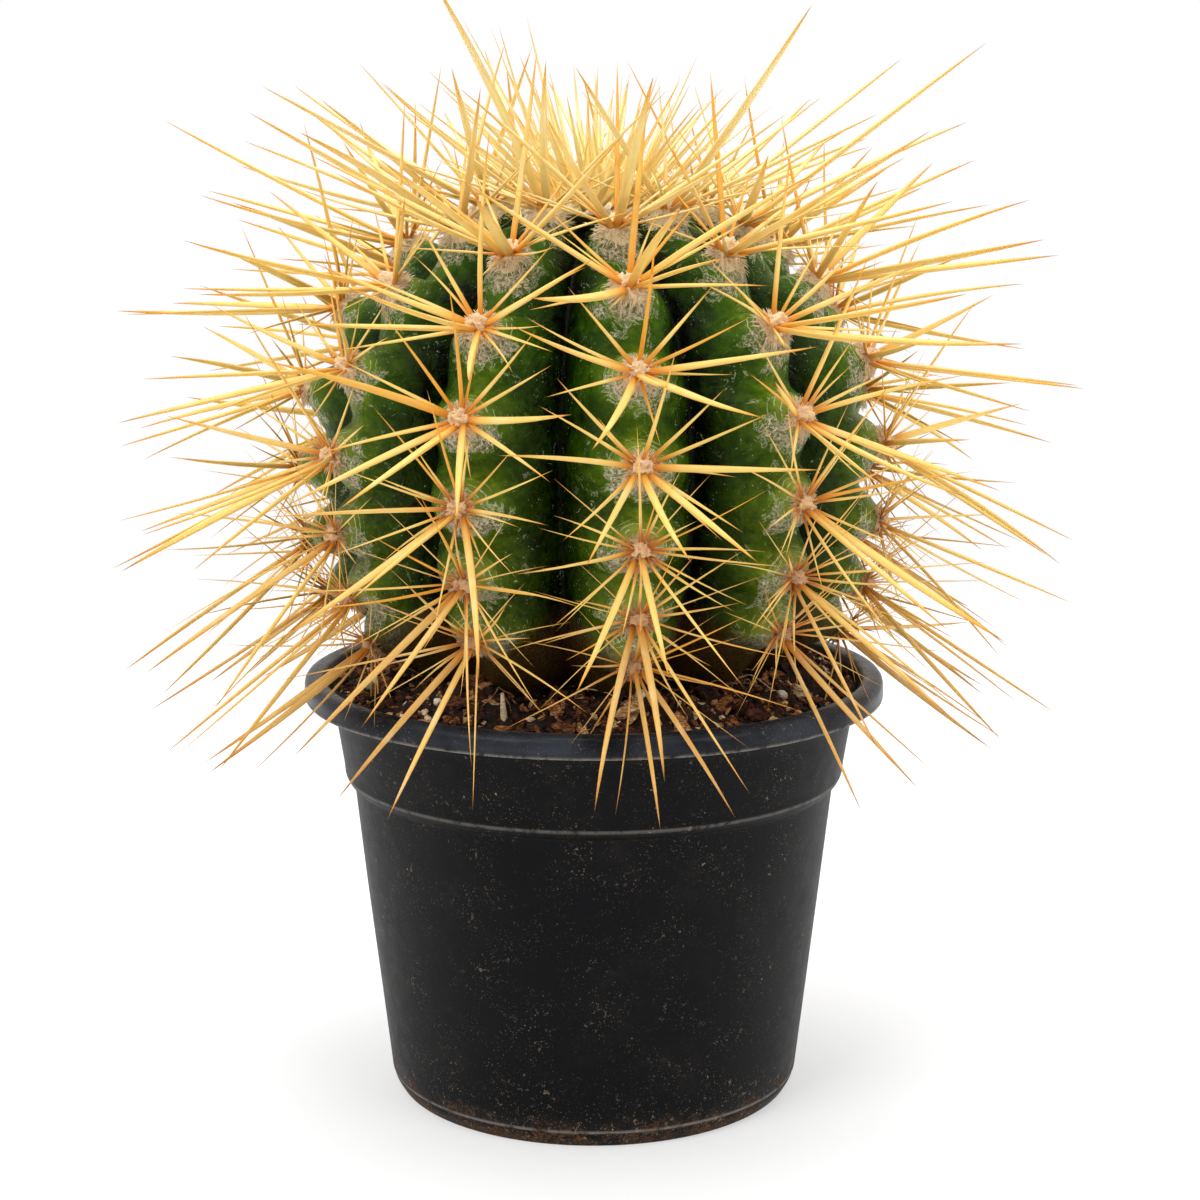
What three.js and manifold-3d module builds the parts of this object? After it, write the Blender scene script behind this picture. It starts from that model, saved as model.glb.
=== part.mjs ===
// A potted round cactus: a ribbed, heavily spined globe in a plastic nursery pot of bark soil.
// Millimetres, +Z up. The origin is on the pot's axis, on the plane that its foot ring stands on.
// -Y is the side of the plant that is seen in front, and angles run from -Y towards +X.

import * as THREE from 'three';
import { mergeVertices } from 'three/addons/utils/BufferGeometryUtils.js';
import Module from 'manifold-3d';

const wasm = await Module();
wasm.setup();

const degrees = Math.PI / 180;
const fullTurn = 2 * Math.PI;
const gap = 0.3; // air between neighbouring pieces
const tiny = 1e-6;
const halvings = 26; // how often an interval is halved when a place on a curve is looked for
const seed = 1;

// Pot
const potHeight = 102.5;
const lipRadius = 70;
const lipThickness = 1.6;
const lipDepth = 5.1; // how far the turned-down lip hangs below the rim
const mouthRadius = 65.1; // inner edge of the rim's top
const collarRadiusTop = 62.9;
const collarRadiusLow = 60.6;
const collarTopZ = 94.5;
const collarLowZ = 79.6; // the moulded step under the collar
const stepDrop = 3.2;
const wallRadiusTop = 58.4;
const wallRadiusLow = 50;
const wallThickness = 1.4;
const footBevel = 3.5;
const footRingRadius = 48.1;
const footRingWidth = 4.2;
const floorUnderZ = 2.4; // the floor is raised off the ground inside the foot ring
const floorThickness = 1.6;
const cornerRadius = 1.5; // inside, between floor and wall
const edge = 0.4; // other moulded corners are cut back by steps of this size
const potSides = 48;
const drainHoles = 6;
const drainHoleRadius = 4.5;
const drainRingRadius = 31;
const drainHoleSides = 10;

// Soil
const soilEdgeZ = 99.2; // where the soil meets the wall
const soilMound = 5.6; // how much higher it lies against the plant
const soilMoundWidth = 12; // it rises over this distance from the wall
const soilRelief = 0.4;
const soilReliefStart = 2.4; // distance from the wall where the relief is in full
const soilWaves = [ // ups and downs in one turn, how they shift with each millimetre, and where they start
  { lobes: 7, shift: 0.2, start: 0 },
  { lobes: 12, shift: -0.33, start: 2 },
  { lobes: 19, shift: 0.43, start: 4 },
];
const soilRings = [0.2, 2.8, 5.8, 9.4, 14]; // distances in from the wall
const chipCount = 30;
const chipSize = 1.7;
const chipSizeSpread = 1.5;
const chipShape = [2, 1.3, 1];
const grainCount = 7;
const grainSize = 1.9;
const lumpStretch = 0.22;
const lumpTilt = 0.5; // radians
const lumpRadius = 50.6; // chips and grains lie from this radius out
const lumpRadiusSpread = 6;
const lumpTurnSpread = 0.1;
const lumpRaised = 0.25; // a lump's middle is this share of its size above the bed

// Plant
const ribCount = 11;
const ribPitch = fullTurn / ribCount;
const firstCrest = 8.5 * degrees; // the rib crest nearest to the front
const widestRadius = 66.5;
const widestZ = 156;
const riseAboveWidest = 57.5;
const dropBelowWidest = 68;
const upperRoundness = 2.15; // exponents of the outline's two superellipses
const lowerRoundness = 2.3;
const outlineSteps = 240; // in each of the two
const rootEndZ = 91; // the neck narrows into the soil and ends here
const rootTipDrop = 2.5;
const crownDip = 4.5;
const crownDipRadius = 13;
const furrowShare = 0.235; // depth of the furrows between ribs, as a share of the radius
const furrowShape = 1.75;
const tubercleHeight = 3.2;
const tubercleReach = 6.4;
const tubercleWidening = 0.35;
const columnPlaces = [0, 0.42, 0.76, 1, 1.24, 1.58]; // over a rib: 0 its crest, 1 the next furrow
const rowsPerAreole = 3;
const crownRows = [1.33, 1.05, 0.8, 0.55, 0.3]; // rows above the flank's, counted in areoles
const footRow = 1.1; // the flank's lowest row is this far below the last areole
const neckRows = [0, 8, 18]; // distances from the root's end up

// Areoles: places along each crest where the spines grow, closer together at crown and foot
const areoleMiddle = 51.9; // arc length from the crown's centre, where they lie furthest apart
const areoleSwing = 100.5;
const areoleRate = 0.2038;
const areoleMiddleIndex = 2.8;
const firstAreole = 2;
const lastAreole = 8;
const lastAreoleArc = 142;
const oddRibShift = -0.48; // every second rib from the front has its areoles this part of a step up
const ribShiftSpread = 0.1;
const shiftStart = 0.8; // the shift fades in over shiftFade from here, and out in the same way below
const shiftFade = 1.1;
const padRadius = 2.6; // the raised pad of an areole, on which its spines stand
const padShare = 0.6; // but no more than this share of the way to the next column of points
const padHeight = 0.9;
const padTilt = 30 * degrees; // pads face up more and more towards the foot, by this much there
const footShare = 0.6; // spines stand this share of the pad's radius from its middle

// Spines, going round an areole: turn is measured from straight up the rib, rise from the pad
const spineKinds = [
  { turn: 12, rise: 52, length: 38, width: 2.0 },
  { turn: 46, rise: 26, length: 26, width: 1.3 },
  { turn: 72, rise: 20, length: 29, width: 1.3 },
  { turn: 98, rise: 38, length: 43, width: 1.9 },
  { turn: 126, rise: 20, length: 30, width: 1.3 },
  { turn: 153, rise: 36, length: 50, width: 2.3 },
  { turn: 180, rise: 48, length: 56, width: 2.5 },
  { turn: 207, rise: 36, length: 50, width: 2.3 },
  { turn: 234, rise: 20, length: 30, width: 1.3 },
  { turn: 262, rise: 38, length: 43, width: 1.9 },
  { turn: 288, rise: 20, length: 29, width: 1.3 },
  { turn: 314, rise: 26, length: 26, width: 1.3 },
];
const turnSpread = 7;
const riseSpread = 8;
const lengthSpread = 0.13;
const shoulderLength = 1.2; // spines near the crown are this much longer than their kind says
const flankLength = 0.93; // and from shoulderArc down they are this much shorter
const shoulderArc = 80;
const steepestRise = 80;
const flattestRise = 12;
const riseStep = 4; // a spine that touches pot, soil or skin rises by this at each try
const riseChance = 5; // and one that touches another spine by up to this, up or down
const slightlyShorter = 0.98;
const muchShorter = 0.9;
const shortestSpine = 8;
const skinClearance = 1.3;
const spineClearance = 0.4;
const keepOuts = [ // no spine goes lower than z inside the radius: over the rim, over the soil
  { radius: 71.6, z: 103.8 },
  { radius: 58, z: 107 },
];
const lowestTipZ = 90;
const furthestTip = 114.5;
const testedShares = [0.2, 0.3, 0.4, 0.5, 0.6, 0.7, 0.8, 0.9, 1]; // of a spine, to keep it clear

// Crown: the felt over the growing point, with the youngest spines upright in it
const crownRadius = 17;
const crownThickness = 4.6;
const crownEdge = 1.3;
const crownRings = [0.88, 0.66, 0.42, 0.2]; // shares of the radius
const crownLobe = 0.5; // the felt is this much higher over the ribs, at its edge
const crownBorder = 3; // the felt's edge is kept free of spines
const crownSpines = 64;
const crownSpineLength = 31;
const crownSpineLengthSpread = 0.25;
const crownLongEvery = 8; // one spine in so many is a long one
const crownLongLength = 46;
const crownLongLengthSpread = 0.08;
const crownSpineWidth = 1.7;
const crownLean = 6; // degrees at the centre, and more for each millimetre outwards
const crownLeanPerRadius = 3.3;
const crownLeanSpread = 9;
const crownSway = 0.5;
const goldenTurn = 137.5 * degrees;
const footBelowFelt = 0.4;
const rootSunk = 0.9;
const cornerShare = 0.56; // from a needle's middle to its corners, as a share of its width

// ---------- helpers ----------

function seededDraws(start) {
  let state = start >>> 0;
  return () => {
    state = (Math.imul(state, 1664525) + 1013904223) >>> 0;
    return state / 4294967296;
  };
}

// A draw between -1 and 1.
function eitherWay(draw) {
  return 2 * draw() - 1;
}

function limit(value, low, high) {
  return Math.min(high, Math.max(low, value));
}

// A point at angle theta from -Y towards +X, at a radius and a height.
function around(theta, radius, z) {
  return new THREE.Vector3(radius * Math.sin(theta), -radius * Math.cos(theta), z);
}

function merged(geometry) {
  geometry.deleteAttribute('normal');
  geometry.deleteAttribute('uv');
  return mergeVertices(geometry, 1e-4);
}

function solidOf(geometry) {
  const shared = merged(geometry.clone());
  return new wasm.Manifold(new wasm.Mesh({
    numProp: 3,
    vertProperties: new Float32Array(shared.attributes.position.array),
    triVerts: new Uint32Array(shared.index.array),
  }));
}

function geometryOf(solid) {
  const mesh = solid.getMesh();
  const geometry = new THREE.BufferGeometry();
  geometry.setAttribute('position', new THREE.BufferAttribute(mesh.vertProperties, 3));
  geometry.setIndex(new THREE.BufferAttribute(mesh.triVerts, 1));
  geometry.computeVertexNormals();
  return geometry;
}

function geometryFrom(points, faces) {
  const geometry = new THREE.BufferGeometry();
  const numbers = points.flatMap((point) => [point.x, point.y, point.z]);
  geometry.setAttribute('position', new THREE.Float32BufferAttribute(numbers, 3));
  geometry.setIndex(faces);
  geometry.computeVertexNormals();
  return geometry;
}

// A closed skin through rows of points that go round the axis, from a lowest to a highest pole.
function skinOfRows(rows, lowPole, highPole) {
  const columns = rows[0].length;
  const points = [lowPole, ...rows.flat(), highPole];
  const at = (row, column) => 1 + row * columns + ((column + columns) % columns);
  const faces = [];
  for (let column = 0; column < columns; column++) {
    faces.push([0, at(0, column + 1), at(0, column)]);
    for (let row = 0; row < rows.length - 1; row++) {
      faces.push([at(row, column), at(row, column + 1), at(row + 1, column + 1)]);
      faces.push([at(row, column), at(row + 1, column + 1), at(row + 1, column)]);
    }
    faces.push([at(rows.length - 1, column), at(rows.length - 1, column + 1), points.length - 1]);
  }
  return { points, faces, at };
}

function grown(geometry, amount) {
  const copy = geometry.clone();
  const place = copy.attributes.position;
  const normal = copy.attributes.normal;
  for (let i = 0; i < place.count; i++) {
    const x = place.getX(i) + amount * normal.getX(i);
    const y = place.getY(i) + amount * normal.getY(i);
    place.setXYZ(i, x, y, place.getZ(i) + amount * normal.getZ(i));
  }
  return copy;
}

// Triangles between an outer and an inner loop of points, each with its clockwise turn.
function bandBetween(outer, inner) {
  const start = outer[0].turn;
  const ahead = (point) => (((point.turn - start) % fullTurn) + fullTurn) % fullTurn;
  const sorted = (loop) => {
    const open = loop.map((point) => ({ index: point.index, turn: ahead(point) }));
    open.sort((a, b) => a.turn - b.turn);
    return [...open, { index: open[0].index, turn: open[0].turn + fullTurn }];
  };
  const outside = sorted(outer);
  const inside = sorted(inner);
  const faces = [];
  let i = 0;
  let j = 0;
  while (i < outer.length || j < inner.length) {
    const stepInside = i === outer.length || (j < inner.length && inside[j + 1].turn < outside[i + 1].turn);
    if (stepInside) {
      faces.push([inside[j].index, inside[j + 1].index, outside[i].index]);
      j++;
    } else {
      faces.push([outside[i].index, inside[j].index, outside[i + 1].index]);
      i++;
    }
  }
  return faces;
}

// ---------- pot ----------

// The inner face of the wall, from the floor's edge up to the rim.
const innerWall = [
  [wallRadiusLow - wallThickness - cornerRadius, floorUnderZ + floorThickness],
  [wallRadiusLow - wallThickness, floorUnderZ + floorThickness + cornerRadius],
  [wallRadiusTop - wallThickness, collarLowZ - stepDrop],
  [collarRadiusLow - wallThickness, collarLowZ],
  [collarRadiusTop - wallThickness, collarTopZ],
  [mouthRadius - edge, potHeight - 2 * edge],
];

function makePot() {
  const underLip = potHeight - lipDepth;
  const skirtInside = lipRadius - lipThickness;
  const outline = [
    [0, floorUnderZ],
    [footRingRadius - footRingWidth - 3 * edge, floorUnderZ],
    [footRingRadius - footRingWidth, 0],
    [footRingRadius, 0],
    [wallRadiusLow - edge, footBevel - 2 * edge],
    [wallRadiusLow, footBevel],
    [wallRadiusTop, collarLowZ - stepDrop],
    [collarRadiusLow - 2 * edge, collarLowZ - stepDrop + 2 * edge],
    [collarRadiusLow, collarLowZ - 2 * edge],
    [collarRadiusLow, collarLowZ],
    [collarRadiusTop, collarTopZ],
    [mouthRadius + edge, potHeight - lipThickness - edge],
    [skirtInside - edge, potHeight - lipThickness - edge],
    [skirtInside, potHeight - lipThickness - 2 * edge],
    [skirtInside, underLip],
    [lipRadius - edge, underLip],
    [lipRadius, underLip + edge],
    [lipRadius, potHeight - 3 * edge],
    [lipRadius - edge, potHeight - edge],
    [lipRadius - 4 * edge, potHeight],
    [mouthRadius + edge, potHeight],
    ...innerWall.toReversed(),
    [0, floorUnderZ + floorThickness],
  ];
  const profile = outline.map(([radius, z]) => new THREE.Vector2(radius, z));
  const shell = new THREE.LatheGeometry(profile, potSides);
  shell.rotateX(Math.PI / 2);
  let pot = solidOf(shell);
  for (let i = 0; i < drainHoles; i++) {
    const depth = 4 * floorThickness;
    const hole = new THREE.CylinderGeometry(drainHoleRadius, drainHoleRadius, depth, drainHoleSides);
    hole.rotateX(Math.PI / 2);
    const centre = around((i * fullTurn) / drainHoles, drainRingRadius, floorUnderZ + floorThickness / 2);
    hole.translate(centre.x, centre.y, centre.z);
    pot = pot.subtract(solidOf(hole));
  }
  return geometryOf(pot);
}

// ---------- the plant's skin ----------

// Half outline of the rib crests, from the crown's centre down to the root end.
function crestOutline() {
  const lowestAngle = Math.asin(((widestZ - rootEndZ) / dropBelowWidest) ** (lowerRoundness / 2));
  const points = [];
  for (let i = 0; i <= outlineSteps; i++) {
    const angle = (Math.PI / 2) * (1 - i / outlineSteps);
    const radius = widestRadius * Math.cos(angle) ** (2 / upperRoundness);
    const rise = riseAboveWidest * Math.sin(angle) ** (2 / upperRoundness);
    points.push([radius, widestZ + rise - crownDip * Math.exp(-((radius / crownDipRadius) ** 2))]);
  }
  for (let i = 1; i <= outlineSteps; i++) {
    const angle = (lowestAngle * i) / outlineSteps;
    const radius = widestRadius * Math.cos(angle) ** (2 / lowerRoundness);
    points.push([radius, widestZ - dropBelowWidest * Math.sin(angle) ** (2 / lowerRoundness)]);
  }
  const arcs = [0];
  for (let i = 1; i < points.length; i++) {
    const [r0, z0] = points[i - 1];
    const [r1, z1] = points[i];
    arcs.push(arcs[i - 1] + Math.hypot(r1 - r0, z1 - z0));
  }
  return { points, arcs };
}

const crest = crestOutline();
const crestLength = crest.arcs.at(-1);

// The crest at an arc length: its radius and height, and its outward direction (out, up).
function crestAt(arc) {
  const wanted = limit(arc, 0, crestLength);
  let low = 0;
  let high = crest.arcs.length - 1;
  while (high - low > 1) {
    const middle = (low + high) >> 1;
    if (crest.arcs[middle] <= wanted) {
      low = middle;
    } else {
      high = middle;
    }
  }
  const [r0, z0] = crest.points[low];
  const [r1, z1] = crest.points[high];
  const length = crest.arcs[high] - crest.arcs[low];
  const part = (wanted - crest.arcs[low]) / length;
  const radius = r0 + part * (r1 - r0);
  const z = z0 + part * (z1 - z0);
  return { radius, z, out: (z0 - z1) / length, up: (r1 - r0) / length };
}

const ribDraw = seededDraws(seed);
const ribShifts = Array.from({ length: ribCount }, (_, rib) => {
  const fromFront = Math.min(rib, ribCount - rib);
  return (fromFront % 2) * oddRibShift + ribShiftSpread * eitherWay(ribDraw);
});

function shiftOf(rib) {
  return ribShifts[((rib % ribCount) + ribCount) % ribCount];
}

function arcOfStep(step) {
  return areoleMiddle + areoleSwing * Math.sin(areoleRate * (step - areoleMiddleIndex));
}

// The areoles that a rib carries on its flank.
function areolesOf(rib) {
  const found = [];
  for (let index = firstAreole; index <= lastAreole; index++) {
    const arc = arcOfStep(index + shiftOf(rib));
    if (arc <= lastAreoleArc) {
      found.push({ rib, index, arc, theta: firstCrest + rib * ribPitch });
    }
  }
  return found;
}

const areoles = ribShifts.map((_, rib) => areolesOf(rib));

function swellAt(rib, arc) {
  const swells = areoles[rib].map((areole) => Math.exp(-(((arc - areole.arc) / tubercleReach) ** 2)));
  return Math.max(...swells);
}

// How far the skin lies below the crest outline: furrows count up, tubercles down.
function sinkAt(theta, arc, radius) {
  const ribs = (theta - firstCrest) / ribPitch;
  const nearest = Math.round(ribs);
  const across = 2 * Math.abs(ribs - nearest);
  const rib = ((nearest % ribCount) + ribCount) % ribCount;
  const swell = swellAt(rib, arc);
  const widened = across * (1 - tubercleWidening * swell * (1 - across));
  const furrow = furrowShare * radius * widened ** furrowShape;
  return furrow - tubercleHeight * swell * (1 - across ** 2) ** 2;
}

function skinPoint(theta, arc) {
  const place = crestAt(arc);
  const sink = sinkAt(theta, arc, place.radius);
  return around(theta, place.radius - sink * place.out, place.z - sink * place.up);
}

// Rows of the skin pass through the areoles, so each rib's own shift moves them there.
function rowArc(step, theta) {
  const ribs = (theta - firstCrest) / ribPitch;
  const low = Math.floor(ribs + tiny);
  const part = ribs - low;
  const shift = shiftOf(low) * (1 - part) + shiftOf(low + 1) * part;
  const nearCrown = limit((step - shiftStart) / shiftFade, 0, 1);
  const nearFoot = limit((lastAreole + 2 - shiftStart - step) / shiftFade, 0, 1);
  return arcOfStep(step + shift * nearCrown * nearFoot);
}

// The flank's rows go from two below the last areole to one above the first.
const neckArcs = neckRows.map((distance) => crestLength - distance);
const flankSteps = Array.from(
  { length: (lastAreole - firstAreole) * rowsPerAreole + 4 },
  (_, i) => lastAreole + (2 - i) / rowsPerAreole,
);
const rowSteps = [lastAreole + footRow, ...flankSteps, ...crownRows];
const columnAngles = Array.from({ length: ribCount * columnPlaces.length }, (_, i) => {
  const rib = Math.floor(i / columnPlaces.length);
  return firstCrest + (rib + columnPlaces[i % columnPlaces.length] / 2) * ribPitch;
});

function makeBareSkin() {
  const neck = neckArcs.map((arc) => columnAngles.map((theta) => skinPoint(theta, arc)));
  const rows = rowSteps.map((step) => columnAngles.map((theta) => skinPoint(theta, rowArc(step, theta))));
  const rootTip = new THREE.Vector3(0, 0, rootEndZ - rootTipDrop);
  const centre = new THREE.Vector3(0, 0, crestAt(0).z);
  return skinOfRows([...neck, ...rows], rootTip, centre);
}

// Height of a point above the skin, measured from the middle of the plant.
function heightOverSkin(point) {
  const radius = Math.hypot(point.x, point.y);
  const slope = Math.atan2(point.z - widestZ, radius);
  let low = 0;
  let high = crestLength;
  for (let i = 0; i < halvings; i++) {
    const middle = (low + high) / 2;
    const place = crestAt(middle);
    if (Math.atan2(place.z - widestZ, place.radius) > slope) {
      low = middle;
    } else {
      high = middle;
    }
  }
  const place = crestAt(low);
  const theta = Math.atan2(point.x, -point.y);
  const skinReach = Math.hypot(place.z - widestZ, place.radius) - sinkAt(theta, low, place.radius);
  return Math.hypot(point.z - widestZ, radius) - skinReach;
}

// ---------- spines ----------

// Least distance between two spines, less half of each one's width where they come closest.
function clearanceBetween(a, b) {
  const alongA = a.tip.clone().sub(a.foot);
  const alongB = b.tip.clone().sub(b.foot);
  const between = a.foot.clone().sub(b.foot);
  const lengthA = alongA.dot(alongA);
  const lengthB = alongB.dot(alongB);
  const both = alongA.dot(alongB);
  const fromA = alongA.dot(between);
  const fromB = alongB.dot(between);
  const crossing = lengthA * lengthB - both * both + tiny;
  const first = limit((both * fromB - fromA * lengthB) / crossing, 0, 1);
  const partB = limit((both * first + fromB) / lengthB, 0, 1);
  const partA = limit((both * partB - fromA) / lengthA, 0, 1);
  const nearA = a.foot.clone().addScaledVector(alongA, partA);
  const nearB = b.foot.clone().addScaledVector(alongB, partB);
  return nearA.distanceTo(nearB) - (a.width * (1 - partA) + b.width * (1 - partB)) / 2;
}

// Whether a spine keeps off the pot, the soil and the skin once it has left its own pad.
function clearOfPlantAndPot(spine) {
  return testedShares.every((share) => {
    const point = spine.foot.clone().lerp(spine.tip, share);
    const radius = Math.hypot(point.x, point.y);
    const inKeepOut = keepOuts.some((zone) => radius < zone.radius && point.z < zone.z);
    return !inKeepOut && point.z > lowestTipZ && heightOverSkin(point) > skinClearance;
  });
}

function clearOfSpines(spine, others) {
  return others.every((other) => (
    other.home === spine.home || clearanceBetween(spine, other) > spineClearance
  ));
}

// An areole's pad: its middle, and the directions out of it, up the rib and to the side.
function padOf(areole) {
  const place = crestAt(areole.arc);
  const outward = around(areole.theta, 1, 0);
  const tilt = padTilt * (areole.arc / lastAreoleArc);
  const flatOut = place.out * Math.cos(tilt) - place.up * Math.sin(tilt);
  const flatUp = place.up * Math.cos(tilt) + place.out * Math.sin(tilt);
  const out = outward.clone().multiplyScalar(flatOut).setZ(flatUp);
  const up = outward.clone().multiplyScalar(-flatUp).setZ(flatOut);
  const side = new THREE.Vector3().crossVectors(up, out);
  const nextColumn = place.radius * (columnPlaces[1] / 2) * ribPitch;
  const radius = Math.min(padRadius, padShare * nextColumn);
  const middle = skinPoint(areole.theta, areole.arc).addScaledVector(out, padHeight);
  return { middle, out, up, side, radius };
}

function onPad(pad, turn, distance) {
  return pad.middle.clone()
    .addScaledVector(pad.up, distance * Math.cos(turn))
    .addScaledVector(pad.side, distance * Math.sin(turn));
}

function spineFrom(pad, turn, rise, length, width) {
  const along = onPad(pad, turn * degrees, 1).sub(pad.middle);
  const direction = along.multiplyScalar(Math.cos(rise * degrees));
  direction.addScaledVector(pad.out, Math.sin(rise * degrees));
  const foot = onPad(pad, turn * degrees, footShare * pad.radius);
  return { foot, tip: foot.clone().addScaledVector(direction, length), width, turn };
}

// Raises, turns and in the end shortens a spine, a little at each try, until it is clear.
function clearSpine(areole, kind, draw, others) {
  const pad = padOf(areole);
  let turn = kind.turn + turnSpread * eitherWay(draw);
  let rise = kind.rise + riseSpread * eitherWay(draw);
  const nearCrown = limit(1 - areole.arc / shoulderArc, 0, 1);
  const scale = flankLength + (shoulderLength - flankLength) * nearCrown;
  let length = kind.length * scale * (1 + lengthSpread * eitherWay(draw));
  while (length > shortestSpine) {
    const spine = spineFrom(pad, turn, rise, length, kind.width);
    spine.home = `${areole.rib} ${areole.index}`;
    if (Math.hypot(spine.tip.x, spine.tip.y) > furthestTip) {
      length *= slightlyShorter;
    } else if (!clearOfPlantAndPot(spine)) {
      rise = Math.min(steepestRise, rise + riseStep);
      length *= rise < steepestRise ? slightlyShorter : muchShorter;
    } else if (!clearOfSpines(spine, others)) {
      turn = kind.turn + turnSpread * eitherWay(draw);
      rise = limit(rise + riseChance * eitherWay(draw), flattestRise, steepestRise);
      length *= slightlyShorter;
    } else {
      return spine;
    }
  }
  return null;
}

// Upright young spines, closer round the crown's centre and leaning out more towards its edge.
function growCrownSpines(draw) {
  const spines = [];
  for (let i = 0; i < crownSpines; i++) {
    const radius = (crownRadius - crownBorder) * Math.sqrt((i + 0.5) / crownSpines);
    const theta = i * goldenTurn;
    const leanNow = crownLean + crownLeanPerRadius * radius + crownLeanSpread * eitherWay(draw);
    const long = i % crownLongEvery === crownLongEvery - 1;
    const spread = long ? crownLongLengthSpread : crownSpineLengthSpread;
    const length = (long ? crownLongLength : crownSpineLength) * (1 + spread * eitherWay(draw));
    const sway = theta + crownSway * eitherWay(draw);
    const foot = around(theta, radius, capTopAt(theta, radius) - footBelowFelt);
    const direction = around(sway, Math.sin(leanNow * degrees), Math.cos(leanNow * degrees));
    const tip = foot.clone().addScaledVector(direction, length);
    const spine = { foot, tip, width: crownSpineWidth, home: `crown ${i}` };
    if (clearOfSpines(spine, spines)) {
      spines.push(spine);
    }
  }
  return spines;
}

// Each flank areole with its spines in the order of their turn, null where one found no room.
function growFlankSpines(draw, crownOnes) {
  const grownSpines = [...crownOnes];
  return areoles.flat().map((areole) => {
    const spines = spineKinds.map((kind) => {
      const spine = clearSpine(areole, kind, draw, grownSpines);
      if (spine) {
        grownSpines.push(spine);
      }
      return spine;
    });
    return { areole, spines };
  });
}

// Adds an areole to the skin: the eight faces round its point become a band up to a raised pad,
// and each wedge of the pad is drawn out to the tip of its spine.
function raiseAreole(skin, { areole, spines }) {
  const { points, faces, at } = skin;
  const row = neckArcs.length + rowSteps.findIndex((step) => Math.abs(step - areole.index) < tiny);
  const column = areole.rib * columnPlaces.length;
  const pad = padOf(areole);
  const centre = at(row, column);
  const turnOf = (index) => {
    const arm = points[index].clone().sub(pad.middle);
    return Math.atan2(arm.dot(pad.side), arm.dot(pad.up));
  };
  const near = [[1, 0], [1, 1], [0, 1], [-1, 1], [-1, 0], [-1, -1], [0, -1], [1, -1]];
  const outer = near.map(([up, right]) => {
    const index = at(row + up, column + right);
    return { index, turn: turnOf(index) };
  });
  const star = new Set([centre, ...outer.map((point) => point.index)]);
  skin.faces = faces.filter((face) => !face.every((index) => star.has(index)));

  const turns = spineKinds.map((kind, i) => (spines[i] ? spines[i].turn : kind.turn));
  const inner = spineKinds.map((kind, i) => {
    const next = (i + 1) % spineKinds.length;
    const ahead = (turns[next] - turns[i] + 360) % 360;
    const share = kind.width / (kind.width + spineKinds[next].width);
    const turn = (turns[i] + share * ahead) * degrees;
    points.push(onPad(pad, turn, pad.radius));
    return { index: points.length - 1, turn };
  });
  points[centre] = pad.middle;
  skin.faces.push(...bandBetween(outer, inner));
  spines.forEach((spine, i) => {
    const start = inner[(i + inner.length - 1) % inner.length].index;
    const end = inner[i].index;
    if (!spine) {
      skin.faces.push([centre, end, start]);
      return;
    }
    points.push(spine.tip);
    const tip = points.length - 1;
    skin.faces.push([centre, end, tip], [end, start, tip], [start, centre, tip]);
  });
}

// A three-sided needle whose root is sunk into what it grows from.
function needle(spine) {
  const direction = spine.tip.clone().sub(spine.foot).normalize();
  const length = spine.tip.distanceTo(spine.foot) + rootSunk;
  const shape = new THREE.ConeGeometry(spine.width * cornerShare, length, 3);
  shape.translate(0, length / 2 - rootSunk, 0);
  shape.applyQuaternion(new THREE.Quaternion().setFromUnitVectors(new THREE.Vector3(0, 1, 0), direction));
  shape.translate(spine.foot.x, spine.foot.y, spine.foot.z);
  return solidOf(shape);
}

// ---------- crown felt ----------

function crestHeightAt(radius) {
  let low = 0;
  let high = areoleMiddle;
  for (let i = 0; i < halvings; i++) {
    const middle = (low + high) / 2;
    if (crestAt(middle).radius < radius) {
      low = middle;
    } else {
      high = middle;
    }
  }
  return crestAt(low).z;
}

function capTopAt(theta, radius) {
  const share = Math.min(1, radius / crownRadius);
  const lobes = crownLobe * share * Math.cos((theta - firstCrest) * ribCount);
  const thickness = crownEdge + (crownThickness - crownEdge) * (1 - share ** 2) + lobes;
  return crestHeightAt(radius) + gap + thickness;
}

// The felt lies a gap above the skin's own facets, and is domed on top.
function makeCap() {
  const lift = 3 * gap;
  const furthest = crownRadius + crownBorder;
  const steps = crownRows.filter((step) => crestAt(rowArc(step, firstCrest)).radius < furthest);
  const under = steps.toReversed().map((step) => columnAngles.map((theta) => {
    const point = skinPoint(theta, rowArc(step, theta));
    return point.setZ(point.z + lift);
  }));
  const border = under.at(-1);
  const brim = border.map((point) => point.clone().setZ(point.z + crownEdge));
  const rings = crownRings.map((share) => columnAngles.map((theta, i) => {
    const radius = share * Math.hypot(border[i].x, border[i].y);
    return around(theta, radius, capTopAt(theta, radius));
  }));
  const lowPole = new THREE.Vector3(0, 0, crestAt(0).z + lift);
  const highPole = new THREE.Vector3(0, 0, capTopAt(0, 0));
  const cap = skinOfRows([...under, brim, ...rings], lowPole, highPole);
  return solidOf(geometryFrom(cap.points, cap.faces.flat()));
}

// ---------- soil ----------

// The soil ends on the flare between the collar and the rim.
const [flareLow, flareHigh] = innerWall.slice(-2);
const flareShare = (soilEdgeZ - gap - flareLow[1]) / (flareHigh[1] - flareLow[1]);
const soilEdgeRadius = flareLow[0] + flareShare * (flareHigh[0] - flareLow[0]) - gap;

function soilTopAt(theta, radius) {
  const inward = soilEdgeRadius - radius;
  const mound = soilMound * limit(inward / soilMoundWidth, 0, 1);
  const waves = soilWaves.map((wave) => Math.sin(wave.lobes * theta + wave.shift * radius + wave.start));
  const relief = soilRelief * limit(inward / soilReliefStart, 0, 1);
  return soilEdgeZ + mound + relief * waves.reduce((sum, wave) => sum + wave, 0);
}

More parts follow.
